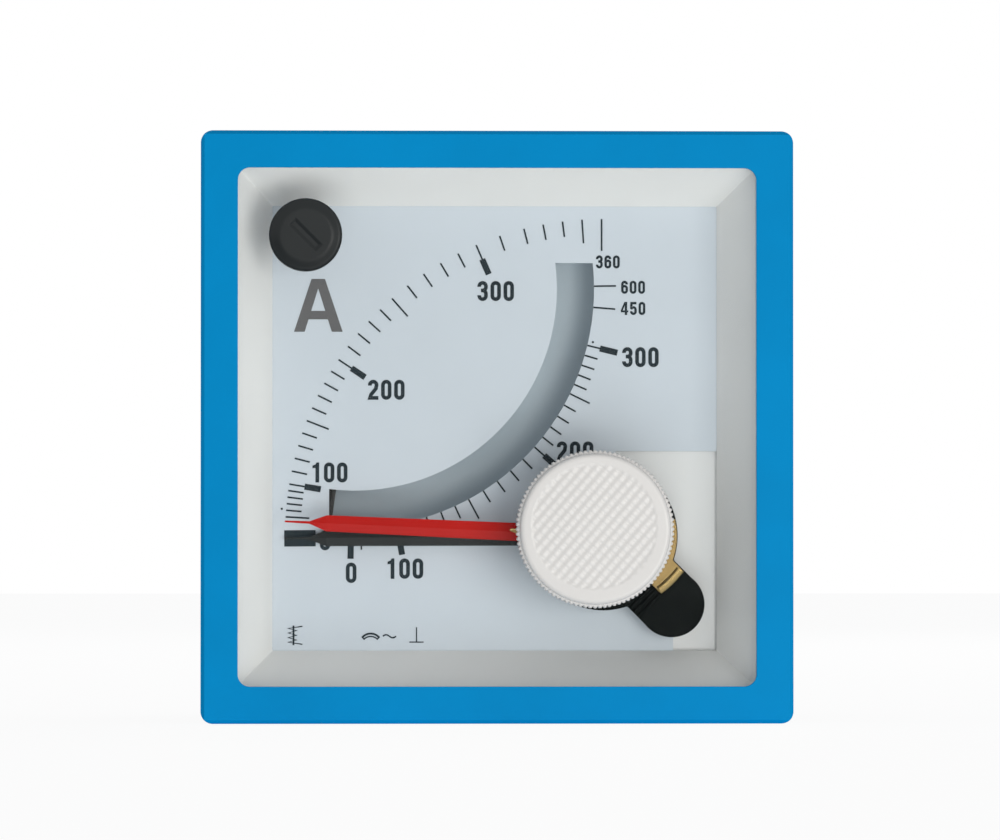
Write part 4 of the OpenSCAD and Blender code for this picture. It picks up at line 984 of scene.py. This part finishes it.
pin = lathe(
    np.array([HOLE, PIN_R, PIN_R, HOLE])[:, None],
    np.array([NECK_END - OVERLAP, NECK_END - OVERLAP, zero_high.y, zero_high.y]),
    24,
    zero_x + PIN_THROW * cos(radians(PIN_AT)),
    zero_z + PIN_THROW * sin(radians(PIN_AT)),
)
zero_parts = merged(closed_lathe(zero_face), closed_lathe(pin))
slotted_knob = add_piece("slotted_knob", *zero_parts, "black_matt", "zero_adjuster", "black_gloss")
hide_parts("zero_knob")
print("slotted_knob:", len(slotted_knob.data.polygons), "faces")

# %% [markdown]
# ## The rolled tab and the tip of the flag
# The brass tab that sets the zero of the slow pointer ends in a rolled
# edge: an oval of half axes a and b swept along the arc of the tab's end.
# The flag by which the knob takes the red pointer along ends in a small
# pale tip, the same sweep along a straight line. Both are one helper: at
# every station the ring is centre + a cos(t) across + b sin(t) forward.

# %% Sweep an oval along a line
OVAL_STEPS = 20


def sweep(stations, across, half_across, half_deep):
    """Points of rings round the stations, (n, 3) in metres. The two half axes may differ along the line."""
    t = np.linspace(0, 2 * np.pi, OVAL_STEPS, endpoint=False)
    half_across = np.broadcast_to(half_across, len(stations))[:, None, None]
    half_deep = np.broadcast_to(half_deep, len(stations))[:, None, None]
    side = half_across * np.cos(t)[:, None] * across[:, None, :]
    deep = half_deep * np.sin(t)[:, None] * np.array([0, -1, 0])
    return stations[:, None, :] + side + deep


def polar(radius, degrees, y):
    """Points about the pointers' axis in metres: (axis + radius cos, y, axis + radius sin)."""
    t = np.radians(degrees)
    r, t, y = np.broadcast_arrays(radius, t, y)
    return np.stack([axis_x + r * np.cos(t), y, axis_z + r * np.sin(t)], -1)


# %% The rolled end of the tab
ARM_DIR = -45
TAB_END, TAB_ARC, TAB_LOW, TAB_HIGH = 9.9, 12.2, 0.0, 3.85
TAB_SHIFT, TAB_MIDDLE, TAB_MARGIN = 0.2, 2.0, 0.05
ROLL_IN, ROLL_HALF, ROLL_DEEP, ROLL_BACK = 0.5, 0.58 * MM, 0.22 * MM, 0.1 * MM
tab_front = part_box("bimetal_zero_lever")[0].y
along = np.array([cos(radians(ARM_DIR)), 0, sin(radians(ARM_DIR))])
beside = np.array([-sin(radians(ARM_DIR)), 0, cos(radians(ARM_DIR))])
up = np.linspace(TAB_LOW + TAB_MARGIN, TAB_HIGH - TAB_MARGIN, 24)
centre_out, centre_up, arc_r = TAB_END - TAB_ARC + TAB_SHIFT, TAB_MIDDLE, TAB_ARC - ROLL_IN
out = centre_out + np.sqrt(arc_r**2 - (up - centre_up) ** 2)
roll = (out[:, None] * along + up[:, None] * beside) * MM + [axis_x, tab_front + ROLL_BACK, axis_z]
outward = (out - centre_out)[:, None] * along + (up - centre_up)[:, None] * beside
outward /= np.linalg.norm(outward, axis=1, keepdims=True)
roll_points, roll_faces = closed_lathe(sweep(roll, outward, ROLL_HALF, ROLL_DEEP))
add_piece("rolled_tab_end", roll_points, roll_faces, "bright_brass", "bimetal_zero", "brass")

# %% The tip of the flag
TIP_FROM, TIP_TO, TIP_HALF = 10.4 * MM, 11.6 * MM, 0.2 * MM
TIP_DIR, TIP_DOWN = 176.4, 0.62 * MM
TIP_ROUND, TIP_BLUNT = 0.25 * MM, 0.02 * MM
flag_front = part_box("drag_hub")[0].y
reach_out = np.linspace(TIP_FROM, TIP_TO, 12)
round_off = np.sqrt(np.clip((TIP_TO + TIP_BLUNT - reach_out) / TIP_ROUND, 0, 1))
stations = polar(reach_out, TIP_DIR, flag_front + TIP_DOWN)
across = np.broadcast_to([-sin(radians(TIP_DIR)), 0, cos(radians(TIP_DIR))], stations.shape)
tip_points, tip_faces = closed_lathe(sweep(stations, across, TIP_HALF * round_off, TIP_HALF * round_off))
add_piece("flag_tip", tip_points, tip_faces, "bright_brass", "drag", "brass")

# %% [markdown]
# ## Threaded studs
# The studs behind the case carry an M4 thread of 0.7 mm pitch. The surface
# is r(angle, y) = radius - depth x tooth(y / pitch - angle / 360), where
# tooth runs up and down once a turn. The grid has the same number of points
# in every pitch, so the crest winds smoothly round the stud.

# %% Cut the threads
THREAD_PITCH = 0.7 * MM
THREAD_DEEP = 0.4 * MM
ROUND_STEPS, PITCH_STEPS = 32, 6
END_CHAMFER, HEAD_EDGE_IN, HEAD_EDGE_BACK = 0.45 * MM, 0.3, 0.15 * MM
IN_HEAD, PAST_HEAD = 0.3 * MM, 1 * MM
HEX_SIDES = 6


def tooth(turns):
    """0 on a flat crest and 1 in a flat root, with straight flanks between: a clipped triangle wave."""
    return np.clip(np.abs((turns % 1) * 2 - 1) * 1.5 - 0.25, 0, 1)


def threaded_stud(node, finish):
    """A stud with its thread and its hexagon head, from the box and the rear end of a CAD node."""
    low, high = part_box(node)
    x, z = middle(node)
    corners = np.empty(len(nodes[node].data.vertices) * 3)
    nodes[node].data.vertices.foreach_get("co", corners)
    corners = corners.reshape(-1, 3)
    spread = np.hypot(corners[:, 0] - x, corners[:, 2] - z)
    head_back = corners[spread > 0.95 * spread.max()][:, 1].max()
    radius = spread[corners[:, 1] > head_back + PAST_HEAD].max()
    y = np.arange(head_back - IN_HEAD, high.y, THREAD_PITCH / PITCH_STEPS)
    y = np.append(y, high.y)
    angles = np.linspace(0, 2 * np.pi, ROUND_STEPS, endpoint=False)
    cut = THREAD_DEEP * tooth(y[:, None] / THREAD_PITCH - angles / (2 * np.pi))
    limit = radius - np.clip(END_CHAMFER - (high.y - y), 0, None)[:, None]
    r = np.minimum(radius - cut, limit)
    head_y = np.array([low.y, low.y + HEAD_EDGE_BACK, head_back])
    head_r = (high.x - low.x) / 2 - np.array([HEAD_EDGE_IN, 0, 0]) * MM
    shaft = closed_lathe(lathe(r, y, ROUND_STEPS, x, z))
    head = closed_lathe(lathe(head_r[:, None], head_y, HEX_SIDES, x, z))
    body = body_of[node]
    piece = add_piece("threaded_" + node, *merged(shaft, head), finish, body, slot_of[node], smooth=False)
    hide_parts(node)
    return piece


for node in ("terminal_stud_left", "terminal_stud_right", "clamp_stud_left", "clamp_stud_right"):
    piece = threaded_stud(node, slot_of[node])
    print(piece.name, len(piece.data.polygons), "faces")
